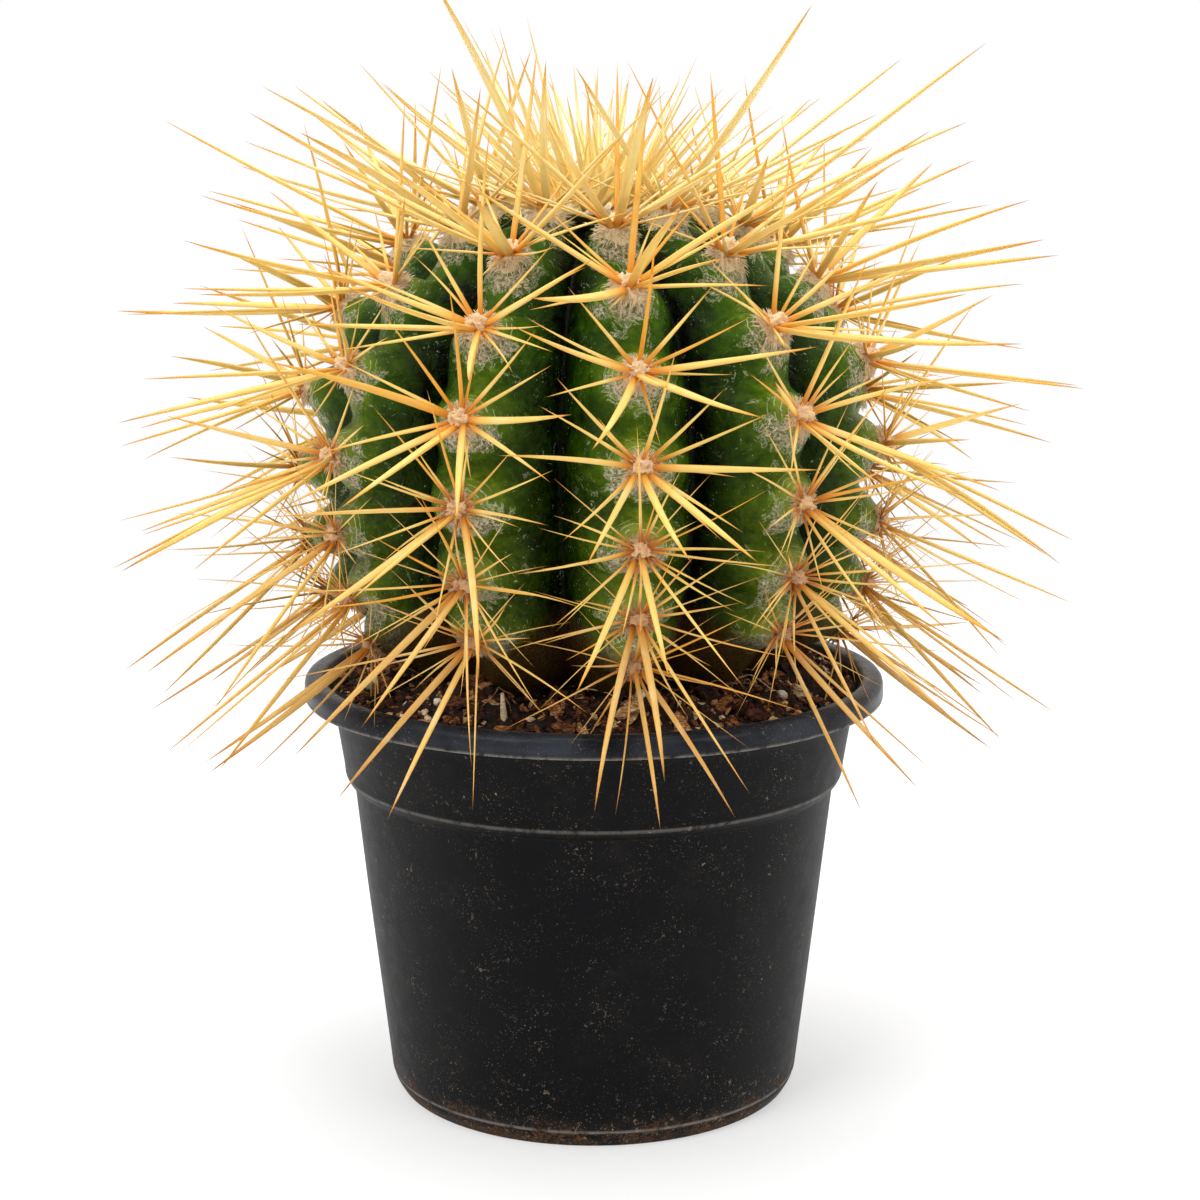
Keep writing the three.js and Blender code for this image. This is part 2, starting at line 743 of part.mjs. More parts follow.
function makeSoilBed() {
  const thetas = Array.from({ length: potSides }, (_, i) => (i * fullTurn) / potSides);
  const sides = innerWall.slice(0, -1).map(([radius, z]) => [radius - gap, z]);
  sides[0][1] += gap;
  sides[1][1] += gap;
  sides.push([soilEdgeRadius, soilEdgeZ - gap]);
  const rows = sides.map(([radius, z]) => thetas.map((theta) => around(theta, radius, z)));
  for (const inset of soilRings) {
    const radius = soilEdgeRadius - inset;
    rows.push(thetas.map((theta) => around(theta, radius, soilTopAt(theta, radius))));
  }
  const bottom = new THREE.Vector3(0, 0, sides[0][1]);
  const middle = new THREE.Vector3(0, 0, soilEdgeZ + soilMound);
  const bed = skinOfRows(rows, bottom, middle);
  return solidOf(geometryFrom(bed.points, bed.faces.flat()));
}

// A blocky bark chip or a rounded grain, turned and stretched by draws.
function makeLump(rounded, draw) {
  const size = rounded ? grainSize : chipSize + chipSizeSpread * draw();
  const block = new THREE.BoxGeometry(...chipShape.map((share) => share * size));
  const shape = merged(rounded ? new THREE.IcosahedronGeometry(size, 0) : block);
  const place = shape.attributes.position;
  for (let i = 0; i < place.count; i++) {
    const stretch = 1 + lumpStretch * eitherWay(draw);
    place.setXYZ(i, place.getX(i) * stretch, place.getY(i) * stretch, place.getZ(i) * stretch);
  }
  shape.rotateX(lumpTilt * eitherWay(draw));
  shape.rotateZ(fullTurn * draw());
  return { shape, size };
}

function makeSoil(bareSkin) {
  const draw = seededDraws(seed + 1);
  const lumps = [];
  for (let i = 0; i < chipCount + grainCount; i++) {
    const rounded = i >= chipCount;
    const share = rounded ? (i + 0.5) / grainCount : i / chipCount;
    const theta = fullTurn * share + lumpTurnSpread * draw();
    const radius = lumpRadius + lumpRadiusSpread * draw();
    const { shape, size } = makeLump(rounded, draw);
    const place = around(theta, radius, soilTopAt(theta, radius) + lumpRaised * size);
    shape.translate(place.x, place.y, place.z);
    lumps.push(solidOf(shape));
  }
  const socket = solidOf(grown(geometryFrom(bareSkin.points, bareSkin.faces.flat()), 2 * gap));
  return geometryOf(wasm.Manifold.union([makeSoilBed(), ...lumps]).subtract(socket));
}

// ---------- assembly ----------

function piece(name, geometry, colour, roughness) {
  const material = new THREE.MeshStandardMaterial({ color: colour, roughness, metalness: 0 });
  const mesh = new THREE.Mesh(geometry, material);
  mesh.name = name;
  return mesh;
}

const spineDraw = seededDraws(seed + 2);
const youngSpines = growCrownSpines(spineDraw);
const flank = growFlankSpines(spineDraw, youngSpines);

const skin = makeBareSkin();
for (const grownAreole of flank) {
  raiseAreole(skin, grownAreole);
}
const crown = wasm.Manifold.union([makeCap(), ...youngSpines.map(needle)]);

const plant = new THREE.Group();
plant.add(piece('cactus', geometryFrom(skin.points, skin.faces.flat()), '#2f5a2c', 0.5));
plant.add(piece('crown', geometryOf(crown), '#e6d196', 0.9));

const pottedCactus = new THREE.Group();
pottedCactus.add(piece('pot', makePot(), '#202226', 0.45));
pottedCactus.add(piece('soil', makeSoil(makeBareSkin()), '#3a2618', 0.95));
pottedCactus.add(plant);

export default pottedCactus;
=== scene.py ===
# %% [markdown]
# # A potted round cactus, dressed for its picture
#
# A construction model of the plant is already there: pot, soil, ribbed body with its spines and
# felt crown, each at its real size. This lesson lays the looks over it: skin with scars, bladed
# spines, felt, bark and dusty plastic. Every piece takes its place from that model, so the lesson
# starts by loading it and by keeping the box that the finished plant has to stay in.

# %% Load the construction model
import math
import random

import bmesh
import bpy
import numpy as np
from mathutils import Euler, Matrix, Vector, noise
from mathutils.bvhtree import BVHTree


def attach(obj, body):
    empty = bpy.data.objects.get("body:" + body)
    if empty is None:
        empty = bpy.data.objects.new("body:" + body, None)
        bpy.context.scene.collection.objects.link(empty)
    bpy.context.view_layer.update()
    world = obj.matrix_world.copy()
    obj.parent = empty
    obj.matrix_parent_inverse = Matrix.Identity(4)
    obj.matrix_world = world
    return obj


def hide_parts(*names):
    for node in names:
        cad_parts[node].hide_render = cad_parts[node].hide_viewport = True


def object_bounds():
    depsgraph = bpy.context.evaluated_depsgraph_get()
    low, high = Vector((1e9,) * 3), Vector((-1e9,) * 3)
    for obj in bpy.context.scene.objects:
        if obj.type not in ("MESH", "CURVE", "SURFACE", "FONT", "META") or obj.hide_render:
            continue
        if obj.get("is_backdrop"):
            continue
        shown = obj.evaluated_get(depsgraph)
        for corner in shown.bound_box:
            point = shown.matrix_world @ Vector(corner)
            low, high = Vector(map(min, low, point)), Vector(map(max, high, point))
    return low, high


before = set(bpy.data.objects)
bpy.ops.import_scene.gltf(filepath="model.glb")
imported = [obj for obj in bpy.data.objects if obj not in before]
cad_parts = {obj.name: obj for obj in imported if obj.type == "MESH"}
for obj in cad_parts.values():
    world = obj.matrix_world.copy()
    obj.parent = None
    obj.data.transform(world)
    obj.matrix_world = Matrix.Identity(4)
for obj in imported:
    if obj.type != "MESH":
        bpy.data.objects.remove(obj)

model_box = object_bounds()
print("construction model:", sorted(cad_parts), [round(side, 4) for side in model_box[1]])

# %% [markdown]
# ## Working units and the mesh maker
#
# A cactus is easiest to think about in millimetres, and Blender counts in metres. So all points
# are worked out in millimetres, and one function turns points and faces into an object. It also
# writes down numbers for each point, such as how far along a spine it lies. A finish can read
# these numbers later, which is how colour follows the way the plant grew.

# %% From points to a piece
MM = 0.001
BODY = "root"  # nothing on a potted plant moves, so there is only one body


def mesh_of(name, points, faces):
    """A mesh from points in millimetres."""
    mesh = bpy.data.meshes.new(name)
    mesh.from_pydata((np.asarray(points) * MM).tolist(), [], faces)
    return mesh


def in_scene(name, data):
    """A new object in the scene that holds a mesh, a lamp or a camera."""
    thing = bpy.data.objects.new(name, data)
    bpy.context.scene.collection.objects.link(thing)
    return thing


def make_piece(name, points, faces, finish, slot, node, smooth=True, **numbers):
    """A piece from points and faces, with one number per point for each further keyword."""
    mesh = mesh_of(name, points, faces)
    for word, values in numbers.items():
        mesh.attributes.new(word, "FLOAT", "POINT").data.foreach_set("value", np.ravel(values))
    mesh.polygons.foreach_set("use_smooth", [smooth] * len(mesh.polygons))
    mesh.materials.append(finish)
    piece = in_scene(name, mesh)
    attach(piece, BODY)
    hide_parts(node)
    print(f"{name}: {len(mesh.vertices)} points, {len(mesh.polygons)} faces")
    return piece


# %% [markdown]
# ### Rings of points
#
# Nearly everything here is round or drawn out: pot, plant, spines and hairs are all stacks of
# rings of points. So a few helpers lay out angles and places round the upright axis, join ring to
# ring with four-sided faces, and close the ends with fans of triangles.

# %% Angles, places and faces of rings
def full_turn(sides):
    """Evenly spaced angles once round."""
    return np.linspace(0, 2 * math.pi, sides, endpoint=False)


def around(theta, radius, z):
    """Points at an angle from the front, -Y, towards +X, at a radius and a height."""
    return np.stack(np.broadcast_arrays(radius * np.sin(theta), -radius * np.cos(theta), z), axis=-1)


def faces_of_rings(rings, sides, first=0):
    """Four-sided faces that join each ring of points to the next one."""
    ring, side = np.meshgrid(np.arange(rings - 1), np.arange(sides), indexing="ij")
    here = first + ring * sides + side
    beside = first + ring * sides + (side + 1) % sides
    return np.stack([here, beside, beside + sides, here + sides], axis=-1).reshape(-1, 4).tolist()


def fan(ring_start, sides, pole, upward):
    """Triangles that close a ring of points with one point in its middle."""
    corners = [(ring_start + i, ring_start + (i + 1) % sides, pole) for i in range(sides)]
    return corners if upward else [corner[::-1] for corner in corners]


def pointed(rings, sides):
    """Faces of a stack of rings that runs out into one more point."""
    count = rings * sides
    return faces_of_rings(rings, sides) + fan(count - sides, sides, count, upward=True)


def closed(rings, sides):
    """Faces of a stack of rings closed by two more points, one at its start and one at its end."""
    count = rings * sides
    start = fan(0, sides, count, upward=False)
    return faces_of_rings(rings, sides) + start + fan(count - sides, sides, count + 1, upward=True)


# %% [markdown]
# ## The camera
#
# The picture was taken from a little above the rim of the pot, close enough for the lip to show
# as an open ellipse. Camera height, distance and tilt come from that ellipse and from the ones of
# the collar and the foot. A longer lens from further off would flatten the lip.

# %% Camera
camera_place = (1.54, -580.0, 228.82)
camera_tilt_down = 10.678  # degrees
camera_lens = 73.32
camera_sensor = 36.0

camera = in_scene("camera", bpy.data.cameras.new("camera"))
camera.location = Vector(camera_place) * MM
camera.rotation_euler = (math.radians(90 - camera_tilt_down), 0, 0)
camera.data.lens = camera_lens
camera.data.sensor_width = camera_sensor
camera.data.clip_start = 0.01
bpy.context.scene.camera = camera

# %% [markdown]
# ## Floor and light
#
# The plant stands on plain white, with one soft shadow at its foot. The floor is a white disc
# that also glows a little, as a light table does, so the shadow stays pale. The rest is a soft
# tent of light: a large lamp high in front on the left, a weaker one on the right, one overhead,
# and a white surround that is darker on the camera's side, which keeps the pot's middle black
# while its sides catch the light. The plain view transform keeps white white.

# %% Floor
floor_radius = 700.0
floor_sides = 96
floor_white = 0.58
floor_glow = 0.44


def make_floor():
    ring = around(full_turn(floor_sides), floor_radius, 0.0)
    mesh = mesh_of("floor", ring, [list(range(floor_sides))])
    floor = in_scene("floor", mesh)
    paint = bpy.data.materials.new("white floor")
    paint.use_nodes = True
    shader = paint.node_tree.nodes["Principled BSDF"]
    shader.inputs["Base Color"].default_value = (floor_white, floor_white, floor_white, 1)
    shader.inputs["Roughness"].default_value = 1.0
    shader.inputs["Specular IOR Level"].default_value = 0.0
    shader.inputs["Emission Color"].default_value = (1, 1, 1, 1)
    shader.inputs["Emission Strength"].default_value = floor_glow
    mesh.materials.append(paint)
    floor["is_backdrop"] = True


make_floor()

# %% Lamps and surround
lamps = {  # place and target in millimetres, side of the square in millimetres, power in watts
    "lamp_front_left": ((-750, -850, 900), (0, 0, 150), 700, 8.8),
    "lamp_front_right": ((900, -800, 600), (0, 0, 130), 700, 5.2),
    "lamp_overhead": ((0, 60, 1300), (0, 0, 0), 800, 9.5),
}
surround = {  # how bright it is, from the camera's side, where Y is low, to the far side
    "From Min": -0.8,
    "From Max": 0.1,
    "To Min": 0.1,
    "To Max": 0.9,
}


def hang_lamp(name, place, target, side, power):
    lamp = in_scene(name, bpy.data.lights.new(name, "AREA"))
    lamp.location = Vector(place) * MM
    lamp.rotation_euler = (Vector(target) - Vector(place)).to_track_quat("-Z", "Y").to_euler()
    lamp.data.size = side * MM
    lamp.data.energy = power


def make_surround():
    """Light from all round, brighter behind the plant, and plain white where the camera sees it."""
    world = bpy.data.worlds.new("surround")
    bpy.context.scene.world = world
    world.use_nodes = True
    tree = world.node_tree
    tree.nodes.clear()
    kinds = ("TexCoord", "SeparateXYZ", "MapRange", "LightPath", "Mix", "Background", "OutputWorld")
    direction, split, shade, seen, either, glow, output = (
        tree.nodes.new("ShaderNode" + kind) for kind in kinds)
    shade.interpolation_type = "SMOOTHSTEP"
    for word, value in surround.items():
        shade.inputs[word].default_value = value
    either.inputs["B"].default_value = 1.0
    glow.inputs["Color"].default_value = (1, 1, 1, 1)
    tree.links.new(direction.outputs["Generated"], split.inputs[0])
    tree.links.new(split.outputs["Y"], shade.inputs["Value"])
    tree.links.new(seen.outputs["Is Camera Ray"], either.inputs["Factor"])
    tree.links.new(shade.outputs["Result"], either.inputs["A"])
    tree.links.new(either.outputs["Result"], glow.inputs["Strength"])
    tree.links.new(glow.outputs["Background"], output.inputs["Surface"])


for lamp_name, (place, target, side, power) in lamps.items():
    hang_lamp(lamp_name, place, target, side, power)
make_surround()
bpy.context.scene.view_settings.view_transform = "Standard"
print("lamps:", ", ".join(lamps))

# %% [markdown]
# ## A short way to write a finish
#
# Every finish here is a tree of nodes: noise for blotches, cells for specks, ramps for colour.
# Writing each node and link out would bury the idea. So two small classes give them plain names,
# and what a node puts out can be added and multiplied like a number. Sizes are given in
# millimetres of the real thing, which makes it easy to check a finish against a ruler.

# %% The finish maker
def colour(chip):
    """A linear colour from the six digits of a paint chip."""
    parts = [int(chip[i:i + 2], 16) / 255 for i in (0, 2, 4)]
    linear = [part / 12.92 if part <= 0.04045 else ((part + 0.055) / 1.055) ** 2.4 for part in parts]
    return (*linear, 1.0)


class Value:
    """What a node puts out: it can be added, taken away and multiplied like a number."""

    def __init__(self, finish, socket):
        self.finish, self.socket = finish, socket

    def __add__(self, other):
        return self.finish.maths("ADD", self, other)

    def __sub__(self, other):
        return self.finish.maths("SUBTRACT", self, other)

    def __mul__(self, other):
        return self.finish.maths("MULTIPLY", self, other)

    def ease(self, low, high):
        """0 below low, 1 above high and a soft step between; the other way round if low > high."""
        node = self.finish.add("ShaderNodeMapRange", interpolation_type="SMOOTHSTEP")
        return self.finish.wire(node, "Result", Value=self, From_Min=low, From_Max=high)

    def thread(self, width):
        """Thin winding lines, where a noise passes through its middle value."""
        return self.finish.maths("ABSOLUTE", self - 0.5).ease(width, 0.0)


class Finish:
    """A material and the few kinds of node that this plant's finishes are made of."""

    def __init__(self, name):
        self.material = bpy.data.materials.new(name)
        self.material.use_nodes = True
        self.tree = self.material.node_tree
        self.shader = self.tree.nodes["Principled BSDF"]
        metres = self.wire(self.add("ShaderNodeTexCoord"), "Object")
        self.place = self.vector("SCALE", metres, Scale=1 / MM)

    def add(self, kind, **settings):
        node = self.tree.nodes.new(kind)
        for word, value in settings.items():
            setattr(node, word, value)
        return node

    def feed(self, socket, value):
        """Links what another node puts out to a socket, or sets a number or a colour on it."""
        if isinstance(value, Value):
            self.tree.links.new(value.socket, socket)
        else:
            socket.default_value = colour(value) if isinstance(value, str) else value

    def wire(self, node, output, *first, **named):
        """Feeds a node's first sockets in order and others by name, and gives one of its outputs."""
        for socket, value in zip(node.inputs, first):
            self.feed(socket, value)
        for word, value in named.items():
            self.feed(node.inputs[word.replace("_", " ")], value)
        return Value(self, node.outputs[output])

    def vector(self, operation, first, second=(0, 0, 0), **more):
        node = self.add("ShaderNodeVectorMath", operation=operation)
        return self.wire(node, "Vector", first, second, **more)

    def maths(self, operation, first, second=0.0, clamp=False):
        node = self.add("ShaderNodeMath", operation=operation, use_clamp=clamp)
        return self.wire(node, 0, first, second)

    def most(self, first, *others):
        """The highest of some values."""
        for other in others:
            first = self.maths("MAXIMUM", first, other)
        return first

    def number(self, name):
        """A number that the mesh carries for each of its points."""
        return self.wire(self.add("ShaderNodeAttribute", attribute_name=name), "Fac")

    def combine(self, *parts):
        return self.wire(self.add("ShaderNodeCombineXYZ"), 0, *parts)

    def grain(self, size, detail=2.0, roughness=0.5, at=None, warp=0.0):
        """Soft noise between 0 and 1 whose blotches are about this many millimetres across."""
        return self.wire(self.add("ShaderNodeTexNoise"), "Fac", Vector=at or self.place,
                         Scale=1 / size, Detail=detail, Roughness=roughness, Distortion=warp)

    def bent(self, size, by):
        """Places pushed about by three soft noises, to bend the patterns laid out on them."""
        noises = self.wire(self.add("ShaderNodeTexNoise"), "Color", Vector=self.place, Scale=1 / size)
        sway = self.vector("SUBTRACT", noises, (0.5, 0.5, 0.5))
        return self.vector("ADD", self.place, self.vector("SCALE", sway, Scale=by))

    def cells(self, size):
        """Distance to the middle of the nearest of many scattered cells, and that cell's number."""
        node = self.add("ShaderNodeTexVoronoi")
        distance = self.wire(node, "Distance", Vector=self.place, Scale=1 / size)
        split = self.add("ShaderNodeSeparateColor")
        return distance, self.wire(split, 0, Value(self, node.outputs["Color"]))

    def cracks(self, size, width, at):
        """Thin lines between scattered cells, this wide as a share of the cells' size."""
        node = self.add("ShaderNodeTexVoronoi", feature="DISTANCE_TO_EDGE")
        return self.wire(node, "Distance", Vector=at, Scale=1 / size).ease(width, width * 0.3)

    def ramp(self, value, stops):
        """A colour that goes from chip to chip as the value passes each one's position."""
        node = self.add("ShaderNodeValToRGB")
        marks = node.color_ramp.elements
        while len(marks) < len(stops):
            marks.new(0.5)
        for mark, (position, chip) in zip(marks, stops.items()):
            mark.position = position
            mark.color = colour(chip)
        return self.wire(node, "Color", value)

    def over(self, share, below, above, how="MIX"):
        """Lays one colour over another, as much as share says."""
        node = self.add("ShaderNodeMix", data_type="RGBA", blend_type=how)
        for socket, value in ((0, share), (6, below), (7, above)):
            self.feed(node.inputs[socket], value)
        return Value(self, node.outputs[2])

    def coats(self, paint, *coats):
        """Paint with more coats over it, each given by its share and its colour."""
        for share, chip in coats:
            paint = self.over(share, paint, chip)
        return paint

    def relief(self, height, depth, below=None):
        """Small relief that is depth millimetres deep where height goes from 0 to 1."""
        more = {"Normal": below} if below else {}
        return self.wire(self.add("ShaderNodeBump"), 0, Strength=1.0, Distance=depth * MM,
                         Height=height, **more)

    def done(self, **sockets):
        """Sets or links the shader's own sockets and gives the finished material."""
        self.wire(self.shader, 0, **sockets)
        return self.material


# %% [markdown]
# ## The pot
#
# The pot is a thin moulded nursery pot. Its lip is rolled over and hangs down like a skirt, a
# collar below it ends in a small step, and the wall tapers to a bevelled foot. It is turned, so
# its outline goes round the axis, with each corner rounded by its own amount. A cylinder with
# loops cut in would never get the lip's roll. Then six drain holes are cut through the floor, and
# the wall gets the slight waves of thin plastic.

# %% Pot outline
POT_HEIGHT = 102.5
LIP_RADIUS = 70.0
LIP_THICKNESS = 1.6
LIP_DEPTH = 5.1
MOUTH_RADIUS = 65.1
COLLAR_RADIUS_TOP = 62.9
COLLAR_RADIUS_LOW = 60.6
COLLAR_TOP_Z = 94.5
COLLAR_LOW_Z = 79.6
STEP_DROP = 3.2
WALL_RADIUS_TOP = 58.4
WALL_RADIUS_LOW = 50.0
WALL_THICKNESS = 1.4
FOOT_BEVEL = 3.5
FOOT_RING_RADIUS = 48.1
FOOT_RING_WIDTH = 4.2
FLOOR_UNDER_Z = 2.4
FLOOR_THICKNESS = 1.6
DRAIN_HOLES = 6
DRAIN_HOLE_RADIUS = 4.5
DRAIN_RING_RADIUS = 31.0
MOST_ROUNDED = 0.48  # a rounding takes up no more than this share of a stretch

step_low_z = COLLAR_LOW_Z - STEP_DROP
inner_wall = [  # from the rim down to the floor, as (radius, z, rounding)
    (MOUTH_RADIUS - 0.6, POT_HEIGHT - 1.0, 0.8),
    (COLLAR_RADIUS_TOP - WALL_THICKNESS, COLLAR_TOP_Z, 2.0),
    (COLLAR_RADIUS_LOW - WALL_THICKNESS, COLLAR_LOW_Z, 1.0),
    (WALL_RADIUS_TOP - WALL_THICKNESS, step_low_z, 1.0),
    (WALL_RADIUS_LOW - WALL_THICKNESS + 0.2, FLOOR_UNDER_Z + FLOOR_THICKNESS + 1.4, 1.0),
    (WALL_RADIUS_LOW - WALL_THICKNESS - 1.6, FLOOR_UNDER_Z + FLOOR_THICKNESS, 0.5),
]
outer_wall = [  # from the floor's underside up to the rim
    (FOOT_RING_RADIUS - FOOT_RING_WIDTH - 1.2, FLOOR_UNDER_Z, 0.3),
    (FOOT_RING_RADIUS - FOOT_RING_WIDTH, 0.0, 0.3),
    (FOOT_RING_RADIUS, 0.0, 0.5),
    (WALL_RADIUS_LOW - 0.4, FOOT_BEVEL - 1.0, 0.8),
    (WALL_RADIUS_LOW - 0.25, FOOT_BEVEL + 0.1, 0.1),
    (WALL_RADIUS_LOW + 0.05, FOOT_BEVEL + 0.5, 0.15),
    (WALL_RADIUS_TOP, step_low_z, 0.7),
    (WALL_RADIUS_TOP + 1.3, step_low_z + 0.7, 0.6),
    (COLLAR_RADIUS_LOW, COLLAR_LOW_Z - 0.9, 0.9),
    (COLLAR_RADIUS_LOW + 0.1, COLLAR_LOW_Z + 1.0, 0.9),
    (COLLAR_RADIUS_TOP, COLLAR_TOP_Z, 2.0),
    (MOUTH_RADIUS + 0.6, POT_HEIGHT - LIP_THICKNESS - 0.6, 0.8),
    (LIP_RADIUS - LIP_THICKNESS - 0.5, POT_HEIGHT - LIP_THICKNESS - 0.3, 0.6),
    (LIP_RADIUS - LIP_THICKNESS, POT_HEIGHT - LIP_DEPTH, 0.2),
    (LIP_RADIUS - 0.1, POT_HEIGHT - LIP_DEPTH, 0.25),
    (LIP_RADIUS, POT_HEIGHT - LIP_DEPTH + 1.2, 0.8),
    (LIP_RADIUS - 0.2, POT_HEIGHT - 0.1, 2.6),
    (MOUTH_RADIUS + 0.5, POT_HEIGHT, 1.2),
]


def rounded(corners, steps=5):
    """An outline whose corners are replaced by short curves of the given size."""
    path = [corners[0][:2]]
    for (r0, z0, _), (r, z, size), (r1, z1, _) in zip(corners, corners[1:], corners[2:]):
        before = Vector((r0 - r, z0 - z))
        after = Vector((r1 - r, z1 - z))
        start = before.normalized() * min(size, before.length * MOST_ROUNDED)
        end = after.normalized() * min(size, after.length * MOST_ROUNDED)
        for t in np.linspace(0, 1, steps):
            bend = start * (1 - t) ** 2 + end * t ** 2
            path.append((r + bend.x, z + bend.y))
    path.append(corners[-1][:2])
    return path


def with_short_steps(path, longest, at_corners):
    """The same outline with points added on its long stretches, and one close to each corner."""
    filled = [path[0]]
    for (r0, z0), (r1, z1) in zip(path, path[1:]):
        length = math.hypot(r1 - r0, z1 - z0)
        shares = []
        if length > 4 * at_corners:
            near = at_corners / length
            pieces = math.ceil(length / longest)
            shares = [near, *np.linspace(0, 1, pieces + 1)[1:-1], 1 - near]
        filled += [(r0 + (r1 - r0) * share, z0 + (z1 - z0) * share) for share in [*shares, 1.0]]
    return filled


middles = [(0, FLOOR_UNDER_Z, 0), (0, FLOOR_UNDER_Z + FLOOR_THICKNESS, 0)]
pot_corners = [middles[0], *outer_wall, *inner_wall, middles[1]]
pot_outline = with_short_steps(rounded(pot_corners), longest=5.0, at_corners=0.5)
print("pot outline:", len(pot_outline), "points")

# %% [markdown]
# ### The plastic
#
# Nursery plastic is black with a faint blue cast and a dull shine, a little glossier on the lip,
# where a pale bluish highlight is also painted in blotches. Handling leaves dust specks, lint and
# pale crumbs of soil on it, most of all low down. A brown tide mark rises from the foot, wet soil
# has dried below the lip in one place, and the sharp edges are rubbed grey, which also paints a
# pale highlight line along them. Specks are the peaks of a fine noise, lint follows the lines
# between cells, and tide mark, lip and edges follow numbers that the mesh carries.

# %% Plastic finish
def make_plastic():
    plastic = Finish("pot plastic")
    edge, low, lip, spill = map(plastic.number, ("edge", "low", "lip", "spill"))
    cloud = plastic.grain(24, 4, 0.6)
    patch = plastic.grain(10, 4, 0.65)
    smear = plastic.grain(4, 4, 0.65)
    dirty = patch * 0.5 + low * 0.16 + 0.1
    dust = plastic.grain(0.45, 3, 0.6).ease(0.63, 0.68) * dirty.ease(0.27, 0.45)
    crumbs = plastic.grain(1.1, 3, 0.6).ease(0.7, 0.73) * dirty.ease(0.3, 0.45)
    lint = plastic.cracks(2.6, 0.05, plastic.bent(1.1, 1.8))
    lint = lint * plastic.grain(1.5, 3, 0.6).ease(0.56, 0.64) * dirty.ease(0.33, 0.5)
    film = cloud.ease(0.42, 0.72) * smear.ease(0.35, 0.75)
    ragged = plastic.grain(0.8, 5, 0.75).ease(0.4, 0.6)
    tide = (low + smear * 0.9).ease(0.98, 1.3) * ragged * patch.ease(0.38, 0.56)
    tide = plastic.most(tide, (spill + smear).ease(0.95, 1.1))
    # Rubbed grey wear along the sharp edges, which also serves as a painted pale highlight line on
    # them.
    rub_and_edge_highlight = edge * plastic.grain(3.0, 4, 0.7).ease(0.3, 0.55)
    paint = plastic.coats(
        plastic.over(cloud, "030406", "06070a"),
        # Painted highlight: a pale bluish tone in blotches on the lip, where the lamp's reflection
        # would lie.
        (lip * cloud.ease(0.3, 0.75), "363a42"),
        (film * 0.14, "443c34"),
        (tide * 0.75, "6b4a2e"),
        # rubbed wear and painted highlight line on the sharp edges
        (rub_and_edge_highlight * 0.75, "8a847e"),
        (dust * 0.6, "97836a"),
        (lint * 0.65, "a89880"),
        (crumbs * 0.85, "c4ac8c"),
    )
    dirt = plastic.most(dust, crumbs, tide, lint)
    dull = smear * 0.26 + 0.34 - lip * 0.2
    dull = plastic.maths("ADD", dull, dirt * 0.4, clamp=True)
    skin = plastic.relief(plastic.grain(0.5, 3, 0.6), 0.03)
    return plastic.done(
        Base_Color=paint, Roughness=dull, Normal=plastic.relief(dirt, 0.1, skin),
        Specular_IOR_Level=0.1, Sheen_Weight=0.03, Sheen_Roughness=0.25, Sheen_Tint="e8dccc",
    )


pot_plastic = make_plastic()

# %% [markdown]
# ### Turning and boring
#
# The outline goes round the axis in so many steps that the rim stays smooth in a close view. Each
# point gets the numbers that the plastic reads: how near it is to a sharp edge, how low it lies,
# whether it is on the lip, and whether wet soil ran there. The holes are bored last, with round
# cutters, because a turned outline can't have them.

# %% Turn the pot
POT_SIDES = 288
POT_WAVE = 0.14  # how far thin plastic strays from round
WAVE_FULL_Z = 60  # the foot is stiffer, so the waves fade out below this height
SPILL_THETA = math.radians(6)  # where wet soil ran over the lip and dried
SPILL_SPREAD = math.radians(8)
SPILL_Z = 97.2
SPILL_DEPTH = 0.7
TIDE_TOP_Z = 16  # how high up the foot the brown tide mark can reach
LIP_FADE = 1.5  # over this height the lip's gloss comes in
rubbed_and_highlit_rings = [  # (radius, z, reach) of the edges that are rubbed grey and carry a painted pale highlight line
    (LIP_RADIUS - 0.1, POT_HEIGHT - LIP_DEPTH + 0.15, 0.4),
    (COLLAR_RADIUS_LOW, COLLAR_LOW_Z - 1.1, 0.3),
    (WALL_RADIUS_LOW, FOOT_BEVEL + 0.5, 0.35),
    (MOUTH_RADIUS + 0.3, POT_HEIGHT, 0.6),
]


def pot_wave(theta, z):
    """Three waves round the wall, two of which also wind a little as they go up."""
    wave = np.sin(2 * theta + 0.6) + 0.6 * np.sin(5 * theta + z / 17) + 0.4 * np.sin(9 * theta - z / 11)
    return POT_WAVE * wave * np.clip(z / WAVE_FULL_Z, 0, 1)


def cut_drain_holes(pot, sides=24, low=-3.0, high=9.0):
    """Bores the holes through the pot's floor with round cutters that reach from low to high."""
    points, faces = [], []
    for i in range(DRAIN_HOLES):
        middle = around(i * 2 * math.pi / DRAIN_HOLES, DRAIN_RING_RADIUS, 0.0)
        first = len(points) * sides
        last = first + sides
        points += [around(full_turn(sides), DRAIN_HOLE_RADIUS, z) + middle for z in (low, high)]
        faces += faces_of_rings(2, sides, first)
        faces += [list(range(last - 1, first - 1, -1)), list(range(last, last + sides))]
    cutter = in_scene("drain_cutters", mesh_of("drain_cutters", np.concatenate(points), faces))
    boring = pot.modifiers.new("boring", "BOOLEAN")
    boring.operation = "DIFFERENCE"
    boring.object = cutter
    bored = bpy.data.meshes.new_from_object(pot.evaluated_get(bpy.context.evaluated_depsgraph_get()))
    pot.modifiers.clear()
    pot.data = bored
    bored.name = "pot_shell"
    bpy.data.objects.remove(cutter)
    print("pot bored:", len(bored.polygons), "faces")


